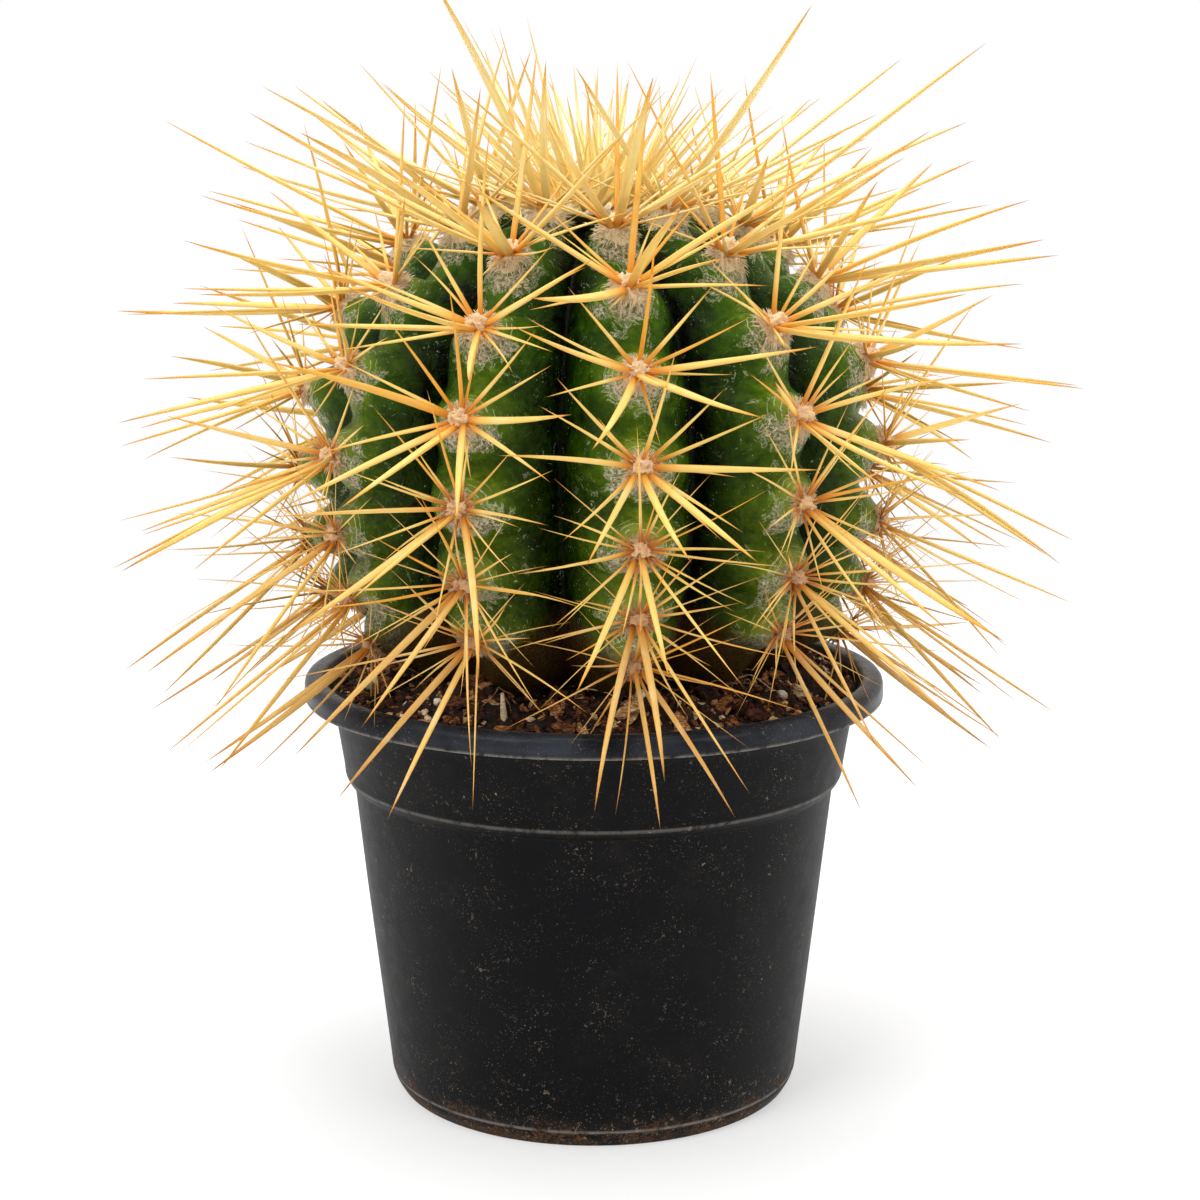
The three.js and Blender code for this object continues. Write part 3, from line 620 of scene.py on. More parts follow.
def make_pot():
    theta = full_turn(POT_SIDES)
    outline = np.array(pot_outline[1:-1])
    radius, z = outline[:, :1], outline[:, 1:]
    rings = around(theta, radius + pot_wave(theta, z), np.broadcast_to(z, (len(outline), POT_SIDES)))
    points = np.concatenate([rings.reshape(-1, 3), [(0, 0, middle[1]) for middle in middles]])
    edge = np.zeros(len(outline))
    for ring_radius, ring_z, reach in rubbed_and_highlit_rings:
        distance = np.hypot(outline[:, 0] - ring_radius, outline[:, 1] - ring_z)
        edge = np.maximum(edge, np.exp(-(distance / reach) ** 2))
    x, y, z = points.T
    # The lip number makes the lip glossier and also carries its painted highlight.
    lip = np.clip((z - POT_HEIGHT + LIP_DEPTH) / LIP_FADE, 0, 1)
    spill_turn = (np.arctan2(x, -y) - SPILL_THETA) / SPILL_SPREAD
    return make_piece(
        "pot_shell", points, closed(len(outline), POT_SIDES), pot_plastic, "pot_plastic", "pot",
        edge=np.append(np.repeat(edge, POT_SIDES), [0, 0]),
        low=np.clip(1 - z / TIDE_TOP_Z, 0, 1),
        lip=lip * np.clip(np.hypot(x, y) - MOUTH_RADIUS, 0, 1),
        spill=np.exp(-spill_turn ** 4 - ((z - SPILL_Z) / SPILL_DEPTH) ** 2),
    )


pot = make_pot()
cut_drain_holes(pot)

# %% [markdown]
# ## How the body grew
#
# The body is a squat globe with eleven ribs. One curve, half a rounded square for the top and
# half for the bottom, gives the crest of a rib. Furrows are pressed in between the ribs, and a
# low swelling lifts each place where spines grow. These are the same rules as in the construction
# model, so the fine skin lies where the coarse one does. Sculpting would look as good from one
# side, but it wouldn't meet the spines.

# %% Crest curve and furrows
CREST_STEPS = 480  # from the crown to the widest place, and again from there to the root
RIB_COUNT = 11
RIB_PITCH = 2 * math.pi / RIB_COUNT
FIRST_CREST = math.radians(8.5)
WIDEST_RADIUS = 66.5
WIDEST_Z = 156.0
RISE_ABOVE_WIDEST = 57.5
DROP_BELOW_WIDEST = 68.0
UPPER_ROUNDNESS = 2.15
LOWER_ROUNDNESS = 2.3
ROOT_END_Z = 91.0
ROOT_TIP_DROP = 2.5
CROWN_DIP = 4.5
CROWN_DIP_RADIUS = 13.0
FURROW_SHARE = 0.235
FURROW_SHAPE = 1.75
TUBERCLE_HEIGHT = 3.2
TUBERCLE_REACH = 6.4
TUBERCLE_WIDENING = 0.35
OLD_ARC = 142  # how far from the crown, along a rib, the skin and the spines count as old


def crest_outline():
    """Radius, height and arc length along a rib's crest, from the crown's centre to the root."""
    upper = np.linspace(math.pi / 2, 0, CREST_STEPS + 1)
    radius_up = WIDEST_RADIUS * np.abs(np.cos(upper)) ** (2 / UPPER_ROUNDNESS)
    z_up = WIDEST_Z + RISE_ABOVE_WIDEST * np.sin(upper) ** (2 / UPPER_ROUNDNESS)
    z_up -= CROWN_DIP * np.exp(-(radius_up / CROWN_DIP_RADIUS) ** 2)
    lowest = math.asin(((WIDEST_Z - ROOT_END_Z) / DROP_BELOW_WIDEST) ** (LOWER_ROUNDNESS / 2))
    lower = np.linspace(0, lowest, CREST_STEPS + 1)[1:]
    radius_low = WIDEST_RADIUS * np.cos(lower) ** (2 / LOWER_ROUNDNESS)
    z_low = WIDEST_Z - DROP_BELOW_WIDEST * np.sin(lower) ** (2 / LOWER_ROUNDNESS)
    radius = np.concatenate([radius_up, radius_low])
    z = np.concatenate([z_up, z_low])
    arc = np.concatenate([[0], np.cumsum(np.hypot(np.diff(radius), np.diff(z)))])
    return radius, z, arc


crest_radius, crest_z, crest_arc = crest_outline()
crest_length = crest_arc[-1]
crest_out = -np.gradient(crest_z, crest_arc)
crest_up = np.gradient(crest_radius, crest_arc)


def crest_at(arc):
    """Radius, height and outward direction of the crest at these arc lengths."""
    curves = (crest_radius, crest_z, crest_out, crest_up)
    radius, z, out, up = (np.interp(arc, crest_arc, curve) for curve in curves)
    size = np.hypot(out, up)
    return radius, z, out / size, up / size


print("crest:", round(crest_length, 1), "mm from crown to root")

# %% [markdown]
# ## Reading the spines off the construction model
#
# Spines sit in bundles, and each bundle springs from one areole, the felted pad that only cacti
# have. The construction model already grew them clear of each other, so nothing is drawn afresh
# here: a tip is a point where just three faces meet, and the point that all tips of a bundle are
# joined to is the middle of its areole. That keeps every fine spine on its coarse one.

# %% Find tips and areoles
def model_points(node):
    """A node's points in millimetres without doubles, each one's neighbours and its count of faces."""
    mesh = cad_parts[node].data
    places = np.array([vertex.co for vertex in mesh.vertices]) / MM
    points, index = np.unique(places.round(3), axis=0, return_inverse=True)
    index = index.reshape(-1)
    neighbours = [set() for _ in points]
    count = np.zeros(len(points), int)
    for polygon in mesh.polygons:
        corners = {int(index[vertex]) for vertex in polygon.vertices}
        for corner in corners:
            count[corner] += 1
            neighbours[corner] |= corners - {corner}
    return points, neighbours, count


def flank_bundles():
    """The areoles of the flank, each as its middle and the (foot, tip) pairs of its spines."""
    points, neighbours, count = model_points("cactus")
    bundles = {}
    for tip in np.flatnonzero(count == 3):
        base = sorted(neighbours[tip])
        middle = max(base, key=lambda corner: count[corner])
        bundles.setdefault(middle, []).append((points[base].mean(axis=0), points[tip]))
    return [(points[middle], spines) for middle, spines in sorted(bundles.items())]


def crown_needles(shortest=12.0):
    """The (foot, tip) pairs of the crown's spines: a tip is far from each point it is joined to."""
    points, neighbours, _ = model_points("crown")
    needles = []
    for tip, base in enumerate(neighbours):
        base = points[sorted(base)]
        if np.linalg.norm(base - points[tip], axis=1).min() > shortest:
            needles.append((base.mean(axis=0), points[tip]))
    return needles


def areole_from(middle, spines):
    """Where an areole sits on its rib, and the directions out of it, up the rib and to the side."""
    radius = math.hypot(middle[0], middle[1])
    rib = round((math.atan2(middle[0], -middle[1]) - FIRST_CREST) / RIB_PITCH) % RIB_COUNT
    theta = FIRST_CREST + rib * RIB_PITCH
    arc = crest_arc[np.argmin(np.hypot(crest_radius - radius, crest_z - middle[2]))]
    _, _, out, up = crest_at(arc)
    outward = np.array([math.sin(theta), -math.cos(theta), 0])
    normal = outward * out + np.array([0, 0, up])
    uphill = outward * -up + np.array([0, 0, out])
    return {"rib": rib, "arc": arc, "age": arc / OLD_ARC, "middle": middle, "spines": spines,
            "out": normal, "up": uphill, "side": np.cross(uphill, normal)}


areoles = [areole_from(middle, spines) for middle, spines in flank_bundles()]
crown_spines = crown_needles()
print(len(areoles), "areoles with", sum(len(a["spines"]) for a in areoles), "spines,",
      len(crown_spines), "crown spines")

# %% [markdown]
# ### Swellings, notches and dips
#
# Each areole sits on a swelling, with a notch across the rib above it, and the crest dips between
# one swelling and the next. All three fade by how far along the rib the nearest areole is, so one
# function measures that, and the grid of skin points is pressed in and out by it.

# %% Skin relief
CREASE_ABOVE = 7.5
CREASE_REACH = 2.0
CREASE_DEPTH = 1.8
CREASE_WIDTH = 0.75
VALLEY_DEPTH = 2.4
VALLEY_START = 40  # the dips are full this far from the crown, and fade out towards it
SKIN_COLUMNS_PER_RIB = 36
SKIN_ROWS = 236


def near_areoles(arc, ribs, above, reach):
    """1 at the lines this far above the areoles of each rib, fading to 0 within a reach or two."""
    shares = []
    for rib in range(RIB_COUNT):
        arcs = np.array([a["arc"] for a in areoles if a["rib"] == rib]) - above
        shares.append(np.exp(-((arc[:, None] - arcs) / reach) ** 2).max(axis=1))
    return np.stack(shares, axis=1)[:, ribs]


def skin_grid(arc, theta):
    """Points of the skin, rows down a rib by columns round the body, and what its finish reads."""
    radius, z, out, up = (line[:, None] for line in crest_at(arc))
    ribs = (theta - FIRST_CREST) / RIB_PITCH
    nearest = np.round(ribs)
    across = 2 * np.abs(ribs - nearest)
    columns = nearest.astype(int) % RIB_COUNT
    swell = near_areoles(arc, columns, 0, TUBERCLE_REACH)
    crease = near_areoles(arc, columns, CREASE_ABOVE, CREASE_REACH)
    on_crest = (1 - across ** 2) ** 2
    widened = across * (1 - TUBERCLE_WIDENING * swell * (1 - across))
    sink = FURROW_SHARE * radius * widened ** FURROW_SHAPE
    sink = sink - TUBERCLE_HEIGHT * swell * on_crest
    sink = sink + CREASE_DEPTH * crease * np.clip(1 - across / CREASE_WIDTH, 0, 1)
    sink = sink + VALLEY_DEPTH * (1 - swell) * on_crest * np.clip(arc / VALLEY_START, 0, 1)[:, None]
    points = around(theta, radius - sink * out, z - sink * up)
    outward = around(theta, out, np.broadcast_to(up, sink.shape))
    return points, outward, np.broadcast_to(across, sink.shape), swell


def rough(points, size, seed):
    """Smooth noise from -1 to 1 at each point, with lumps of about this size."""
    flat = points.reshape(-1, 3) / size + seed * 17.3
    return np.array([noise.noise(Vector(place)) for place in flat]).reshape(points.shape[:-1])


# %% [markdown]
# ### The skin
#
# Young skin at the crown is clean and deep green. Further down it ages: it turns olive, and where
# the spines of its own neighbours scrape it, it heals with pale cork, as a lace of cracks and
# flakes and as fine rings round the areoles. Crust and scratches are worst on the crests, while
# the furrows stay smooth. The furrows and the dips between swellings are painted darker as shade,
# and the skin near the soil is stained brown and painted darker as shade, more so in the furrows.
# So the colour goes from crest to furrow by one number and from crown to soil by another, and the
# cork is laid over it where noise and the other numbers allow.

# %% Skin finish
# The near-black ends of these ramps, deep in the furrows, are painted shade.
young_skin_with_furrow_shade = {  # from the crest into the furrow
    0.0: "b2c04a", 0.18: "7c981c", 0.4: "466a06", 0.65: "244400", 0.9: "0a1c00", 1.0: "020500",
}
old_skin_with_furrow_shade = {
    0.0: "b4ae50", 0.18: "808a22", 0.4: "4e620c", 0.65: "2b3e02", 0.9: "101b00", 1.0: "040600",
}


def make_skin_finish():
    skin = Finish("cactus skin")
    words = ("across", "age", "scraped", "low", "valley_shade", "away")
    across, age, scraped, low, valley_shade, away = map(skin.number, words)
    blotch = skin.grain(11, 4, 0.6)
    mottle = skin.grain(2.6, 4, 0.7)
    fine = skin.grain(0.7, 4, 0.7)
    # Painted shade: valley_shade darkens the dips between swellings, and the ramps run to near black in
    # the furrows.
    drift = across + (blotch - 0.5) * 0.6 + (mottle - 0.5) * 0.65 + valley_shade * 0.42
    young, old = skin.ramp(drift, young_skin_with_furrow_shade), skin.ramp(drift, old_skin_with_furrow_shade)

    # cork where the skin was scraped: a lace of cracks and flakes, a greener halo, a pale rim
    web = skin.cracks(1.5, 0.12, skin.bent(1.7, 1.6)) * skin.grain(1.2, 3, 0.6).ease(0.42, 0.52)
    flake = skin.grain(0.75, 4, 0.7, warp=1.0).ease(0.5, 0.56)
    cork = skin.grain(5.0, 5, 0.7, warp=0.6) + scraped * 0.3 - 0.08
    near_crest = across.ease(0.85, 0.3)
    halo = cork.ease(0.5, 0.62) * near_crest
    lace = cork.ease(0.55, 0.62) * skin.most(web, flake) * near_crest
    rim = (cork - 0.07).thread(0.012) * near_crest
    crust = cork.ease(0.63, 0.7) * fine.ease(0.36, 0.56) * near_crest

    # round each areole: a paler bloom and broken rings
    bloom = away.ease(8.5, 4.0) * mottle.ease(0.3, 0.7)
    waves = skin.maths("FRACT", away * 0.75 + blotch * 3.0)
    rings = waves.thread(0.13) * away.ease(9.5, 6.5) * away.ease(3.5, 4.5)
    rings = rings * skin.grain(3.2, 3, 0.6).ease(0.44, 0.56)

    # small pale marks: specks, flecks, rows of dots and scratches
    dot, dot_draw = skin.cells(0.6)
    big_dot, big_draw = skin.cells(1.7)
    specks = dot.ease(0.34, 0.16) * dot_draw.ease(0.85, 0.88) * skin.grain(6.0, 3, 0.6).ease(0.52, 0.64)
    flecks = big_dot.ease(0.12, 0.05) * big_draw.ease(0.86, 0.9)
    chain = skin.grain(9.0, 2, 0.5, warp=0.8).thread(0.009) * dot.ease(0.5, 0.25)
    chain = chain * skin.grain(8, 2, 0.5).ease(0.5, 0.56)
    scratch = skin.grain(3.4, 1, 0.5, warp=0.8).thread(0.007) * skin.grain(5.0, 2, 0.5).ease(0.58, 0.64)
    marks = skin.most(specks * 0.7, flecks, chain, scratch * across.ease(0.95, 0.5))

    # Near the soil: a brown stain and painted shade, brown-black and reaching higher up in the furrows.
    low_stain_and_shade = low * (blotch + low).ease(0.6, 1.1)
    paint = skin.coats(
        skin.over((age + blotch * 0.5).ease(0.55, 1.2), young, old),
        (bloom * 0.4, "9cae66"),
        (halo * 0.35, "6f8c34"),
        (rings * 0.75, "e4ebc2"),
        (lace * 0.9, skin.over(fine.ease(0.35, 0.65), "b4ac7c", "f8f6e2")),
        (rim * 0.7, "f0f2d0"),
        (crust * 0.75, skin.over(mottle, "ab8a64", "f0e4cc")),
        (marks * 0.6, "dce6b8"),
        (low_stain_and_shade * 0.9, skin.over(fine, "120a03", "563a1e")),
    )
    raised = skin.most(lace, crust, marks * 0.6)
    dull = skin.maths("ADD", mottle * 0.2 + 0.14, skin.most(halo, raised) * 0.35, clamp=True)
    hide = skin.relief(mottle, 0.9, skin.relief(fine, 0.12))
    hide = skin.relief(raised, 0.25, hide)
    return skin.done(Base_Color=paint, Roughness=dull, Normal=hide, Specular_IOR_Level=0.11)


cactus_skin = make_skin_finish()

# %% [markdown]
# ### Laying the skin
#
# The skin is one closed grid, with soft lumps of two sizes and a low rise under each areole. A
# grid keeps each rib equally fine. It also gives the finish its numbers: how far from the crest
# and from the crown a point lies, how far from the nearest areole, where the spines above and
# below scrape it, how close it is to the soil, and how deep it lies in the dips between swellings,
# where the finish paints shade.

# %% Make the skin
SKIN_LUMP = 0.45
LUMP_START = 20  # the skin is smooth at the crown and has its full lumps from here down
PAD_LIFT = 1.0
PAD_REACH = 3.0
SCRAPE_REACH = 6  # how far from an areole its own spines scrape the skin most
SCRAPE_WIDTH = 4
# Up to these heights the skin near the soil is stained brown and painted darker as shade, higher in the
# furrows.
STAIN_AND_SHADE_TOP_Z = 121.0
STAIN_AND_SHADE_IN_FURROWS = 9.0
STAIN_AND_SHADE_FADE = 7.0
FAR_AWAY = 99.0


def make_skin():
    arc = np.linspace(0, crest_length, SKIN_ROWS + 1)[1:]
    theta = FIRST_CREST + np.arange(RIB_COUNT * SKIN_COLUMNS_PER_RIB) * RIB_PITCH / SKIN_COLUMNS_PER_RIB
    points, outward, across, swell = skin_grid(arc, theta)
    lift = SKIN_LUMP * rough(points, 9, 1) + 0.25 * SKIN_LUMP * rough(points, 2.6, 2)
    lift = lift * np.clip(arc / LUMP_START, 0, 1)[:, None]
    scraped = np.zeros(across.shape)
    away = np.full(across.shape, FAR_AWAY)
    for areole in areoles:
        distance = np.linalg.norm(points - areole["middle"], axis=-1)
        lift += PAD_LIFT * np.exp(-(distance / PAD_REACH) ** 2)
        away = np.minimum(away, distance)
        below = 0.5 + 0.5 * np.tanh((areole["middle"] - points) @ areole["up"] / 3)
        scrape = np.exp(-((distance - SCRAPE_REACH) / SCRAPE_WIDTH) ** 2)
        scraped = np.maximum(scraped, scrape * below)
    points = points + outward * lift[..., None]
    low = (STAIN_AND_SHADE_TOP_Z + STAIN_AND_SHADE_IN_FURROWS * across - points[..., 2]) / STAIN_AND_SHADE_FADE
    poles = [(0, 0, crest_z[0]), (0, 0, ROOT_END_Z - ROOT_TIP_DROP)]
    numbers = {  # each with its values at the two poles
        "across": (across, [0, 0]),
        "age": (np.broadcast_to((arc / OLD_ARC)[:, None], across.shape), [0, 1]),
        "scraped": (scraped, [0, 0]),
        "low": (np.clip(low, 0, 1), [0, 1]),
        # painted shade in the dips between swellings
        "valley_shade": ((1 - swell) * np.clip(1 - across, 0, 1), [0, 0]),
        "away": (away, [FAR_AWAY, FAR_AWAY]),
    }
    return make_piece(
        "cactus_body", np.concatenate([points.reshape(-1, 3), poles]),
        [face[::-1] for face in closed(len(arc), len(theta))],
        cactus_skin, "cactus_skin", "cactus",
        **{word: np.append(values, ends) for word, (values, ends) in numbers.items()},
    )


body = make_skin()

# %% [markdown]
# ## Spines
#
# A spine of this kind is a stiff blade, not a needle: broad across its areole, thin through, with
# fine lengthwise grooves, and drawn out to a point. It comes out of the felt orange, turns golden
# and then straw along its length, and has an amber tip. A little light gets into it, which makes
# it glow against the dark skin. Spines in the crown are this year's and pale yellow, and those
# near the soil are old and tan. Each is a loft of flattened rings along a slightly bent line.
# Curves with a bevel would be quicker to write, but they can't be flat.

# %% Spine finish
# from the root of a spine to its tip
fresh_spine = {0.0: "f4d474", 0.3: "fff0ac", 0.7: "fff2b6", 0.9: "f0c85c", 1.0: "a8661c"}
grown_spine = {0.0: "f0b448", 0.3: "fbdc80", 0.7: "f9d678", 0.92: "e2a034", 1.0: "985414"}
aged_spine = {0.0: "b87c38", 0.3: "dcb068", 0.75: "d6a45c", 0.93: "a87030", 1.0: "5f3616"}


def make_spine_finish():
    spine = Finish("spines")
    words = ("along", "age", "tint", "reach", "flank", "turn")
    along, age, tint, reach, flank, turn = map(spine.number, words)
    streak = spine.grain(0.3, 2, 0.5, at=spine.combine(turn * 0.9, reach * 0.02, tint * 57.0))
    cloud = spine.grain(7, 2, 0.5)
    fresh, grown, aged = (spine.ramp(along, stops) for stops in (fresh_spine, grown_spine, aged_spine))
    young = spine.over(age.ease(0.1, 0.4), fresh, grown)
    paint = spine.over((age + tint * 0.25).ease(0.75, 1.2), young, aged)
    paint = spine.over(streak.ease(0.45, 0.75) * 0.3, paint, "eca838", how="MULTIPLY")
    young_root = reach.ease(8.0, 1.5) * age.ease(0.06, 0.2)
    old_root = reach.ease(6.0, 1.0) * age.ease(0.5, 0.8)
    paint = spine.coats(
        paint,
        (flank.ease(0.5, 1.0) * 0.36, "dc9824"),
        (cloud.ease(0.5, 0.8) * 0.25, "fff6cc"),
        (tint.ease(0.82, 0.96) * 0.75, "eaa220"),
        (young_root * 0.75, "e08c14"),
        (old_root * 0.75, "a8682f"),
    )
    return spine.done(
        Base_Color=paint, Roughness=streak * 0.25 + 0.36, Normal=spine.relief(streak, 0.05),
        Specular_IOR_Level=0.3, Subsurface_Weight=0.3, Subsurface_Radius=(1.0, 0.78, 0.35),
        Subsurface_Scale=0.0005,
    )


spine_finish = make_spine_finish()

# %% [markdown]
# ### One blade
#
# A blade is a stack of flattened rings that ends in one more point. It is a little swollen and
# rounder at its root, broadest about a fifth of the way out, and a little rounder again towards
# its tip. All spines are made by these few lines, so each is told how wide and full it is, how it
# bends and how old it is.

# %% One blade
SPINE_SIDES = 8
SPINE_ROWS = 10
FLAT_SHARE = 0.5  # thickness of a broad blade as a share of its width
ROOT_SUNK = 1.2
KNOB = 0.15  # how much broader a spine is at its root
KNOB_LENGTH = 2.6


def unit(vector):
    return vector / np.linalg.norm(vector)


def limited(value):
    return min(1, max(0, value))


def mixed(low, high, share):
    return low + (high - low) * share


class Sheaf:
    """Collects spines, or anything lofted like them, into the lists that one piece is made of."""

    def __init__(self):
        self.points, self.faces, self.numbers, self.count = [], [], {}, 0

    def add(self, points, faces, **numbers):
        self.faces += [[self.count + corner for corner in face] for face in faces]
        self.points.append(points)
        self.count += len(points)
        for word, values in numbers.items():
            self.numbers.setdefault(word, []).append(np.broadcast_to(values, len(points)))

    def piece(self, name, finish, slot, node, smooth=True):
        numbers = {word: np.concatenate(values) for word, values in self.numbers.items()}
        points = np.concatenate(self.points)
        return make_piece(name, points, self.faces, finish, slot, node, smooth, **numbers)


blade_faces = pointed(SPINE_ROWS, SPINE_SIDES) + [list(range(SPINE_SIDES - 1, -1, -1))]


def add_blade(sheaf, foot, tip, width, facing, bend, age, tint, fullness=1.5):
    """A blade from foot to tip, its broad side towards facing, bent by some millimetres.

    The fuller it is, the longer its sides stay parallel before they run together.
    """
    length = np.linalg.norm(tip - foot)
    way = (tip - foot) / length
    breadth = np.cross(way, facing)
    breadth = unit(breadth + 1e-4 * np.array([0.3, 0.2, 0.1]))
    through = np.cross(breadth, way)
    share = np.linspace(0, 1, SPINE_ROWS + 1)[:-1] ** 1.1
    taper = (0.8 + 0.2 * np.minimum(1, share / 0.2)) * (1 - share ** fullness) ** 0.95
    taper += KNOB * np.exp(-(share * length / KNOB_LENGTH) ** 2)
    flatness = mixed(FLAT_SHARE, 1, np.exp(-share / 0.05) * 0.6 + 0.35 * share)
    turn = full_turn(SPINE_SIDES)
    line = foot - way * ROOT_SUNK + np.outer(share, tip - foot + way * ROOT_SUNK)
    line = line + np.outer(4 * share * (1 - share), bend)
    across = (width / 2 * taper)[:, None] * np.cos(turn)
    deep = (width / 2 * taper * flatness)[:, None] * np.sin(turn)
    rings = line[:, None] + across[..., None] * breadth + deep[..., None] * through
    along = np.append(np.repeat(share, SPINE_SIDES), 1)
    sheaf.add(
        np.concatenate([rings.reshape(-1, 3), [tip]]), blade_faces,
        along=along, reach=along * length, age=age, tint=tint,
        turn=np.append(np.tile(np.abs(np.sin(turn / 2)) * 2, SPINE_ROWS), 1),
        flank=np.append(np.tile(np.abs(np.cos(turn)), SPINE_ROWS), 1),
    )


# %% [markdown]
# ### From areole to spines
#
# Long spines are broad and hold their width, short ones are thin and taper at once. Near the soil
# the bundles are older and finer, so only the two longest spines of an areole stay broad there.
# A few short thin ones that the construction model leaves out fill the gaps. They are left out
# again where they would touch the pot's lip.

# %% Grow the spines
BUILD_LENGTH = (28.0, 54.0)  # a spine this short is as thin as any, and one this long as broad
BUILD_WIDTH = (1.0, 2.35)
BUILD_FULLNESS = (1.8, 2.9)
WIDTH_CHANCE = (0.88, 1.12)
FULLNESS_CHANCE = (0.6, 1.3)
TINT_CHANCE = 0.86
FOOT_SPREAD = 2.7
BEND_SHARE = 0.022
LOW_AGE = 0.66  # from this age on, an areole counts as near the soil
LOW_FADE = 0.15
LOW_SLIMMER = 0.15
LOW_THIN = 0.45  # width of the lesser spines of an areole near the soil, as a share
AMBER_UPHILL = 0.4  # spines that point up the rib are amber more often
EXTRA_RADIALS = 3
LOW_EXTRAS = 8
EXTRA_WIDTH = 0.8
EXTRA_LENGTHS = (11, 21)
EXTRA_RISES = (12, 34)  # degrees up from the skin
EXTRA_BEND_SHARE = 0.04
RIM_RADIUS = 61.0
RIM_Z = 106.0

spine_draw = random.Random(41)


def build_of(length):
    """Width and fullness: longer spines are broader and fuller, with a little chance in it."""
    short, long = BUILD_LENGTH
    thin, full = BUILD_FULLNESS
    share = limited((length - short) / (long - short))
    width = mixed(*BUILD_WIDTH, share) * spine_draw.uniform(*WIDTH_CHANCE)
    return width, thin + (full - thin) * share * spine_draw.uniform(*FULLNESS_CHANCE)


def chance_bend(way, most):
    """A sideways bend of up to most millimetres."""
    turn = spine_draw.uniform(0, 2 * math.pi)
    aside = unit(np.cross(way, [math.cos(turn), math.sin(turn), 0.31]))
    return aside * most * spine_draw.uniform(-1, 1)


def clear_of_rim(foot, tip):
    """True if a straight spine stays above the pot's lip."""
    line = foot + np.outer(np.linspace(0, 1, 9), tip - foot)
    return not np.any((np.hypot(line[:, 0], line[:, 1]) > RIM_RADIUS) & (line[:, 2] < RIM_Z))


def add_bundle(sheaf, areole):
    """The spines of one areole, and a few thin short ones between them."""
    middle, out, age = areole["middle"], areole["out"], areole["age"]
    low = limited((age - LOW_AGE) / LOW_FADE)
    lengths = sorted(np.linalg.norm(tip - middle) for _, tip in areole["spines"])
    for _, tip in areole["spines"]:
        way = unit(tip - middle)
        level = way - (way @ out) * out
        foot = middle + FOOT_SPREAD * level * spine_draw.uniform(0.8, 1.2)
        length = np.linalg.norm(tip - foot)
        bend = chance_bend(tip - foot, BEND_SHARE * length)
        tint = spine_draw.random() * TINT_CHANCE + AMBER_UPHILL * max(0, way @ areole["up"])
        width, fullness = build_of(length)
        width *= 1 - LOW_SLIMMER * low
        if np.linalg.norm(tip - middle) < lengths[-2]:
            width *= 1 - (1 - LOW_THIN) * low
        add_blade(sheaf, foot, tip, width, out, bend, age, tint, fullness)
    extras = round(EXTRA_RADIALS + LOW_EXTRAS * low)
    for i in range(extras):
        turn = 2 * math.pi * (i + spine_draw.uniform(0.1, 0.9)) / extras
        rise = math.radians(spine_draw.uniform(*EXTRA_RISES))
        length = spine_draw.uniform(*EXTRA_LENGTHS) * (1 + 0.7 * low * spine_draw.random())
        level = areole["up"] * math.cos(turn) + areole["side"] * math.sin(turn)
        way = level * math.cos(rise) + out * math.sin(rise)
        foot = middle + level * FOOT_SPREAD
        tip = foot + way * length
        if clear_of_rim(foot, tip):
            bend = chance_bend(way, EXTRA_BEND_SHARE * length)
            add_blade(sheaf, foot, tip, EXTRA_WIDTH, out, bend, age, spine_draw.random())


RIBS_PER_SHEAF = 4
rib_groups = math.ceil(RIB_COUNT / RIBS_PER_SHEAF)
for group in range(rib_groups):
    sheaf = Sheaf()
    for areole in areoles:
        if areole["rib"] // RIBS_PER_SHEAF == group:
            add_bundle(sheaf, areole)
    sheaf.piece(f"spines_{group + 1}", spine_finish, "cactus_skin", "cactus")

# %% [markdown]
# ### Crown spines
#
# At the growing point new areoles are packed so closely that their spines stand up like a brush.
# The thick ones come from the construction model. Between them grow thinner ones, laid out by a
# golden-angle spiral, as the seeds in a flower head are, which fills a disc evenly.

# %% Crown spines
CROWN_RADIUS = 17.0
CROWN_SPREAD = 3.0  # the thin spines reach this much further out than the felt
CROWN_EXTRA = 70
CROWN_WIDTHS = (1.5, 2.2)
CROWN_FULLNESS = 1.35
CROWN_AGE = 0.03
CROWN_EXTRA_AGE = 0.02
CROWN_EXTRA_WIDTHS = (0.9, 1.4)
CROWN_EXTRA_LENGTHS = (13, 27)
GOLDEN_TURN = math.radians(137.5)


def crown_height(radius):
    """Height of the body's top at a radius, read off the part of the crest near the crown."""
    return np.interp(radius, crest_radius[:CREST_STEPS // 2], crest_z[:CREST_STEPS // 2])


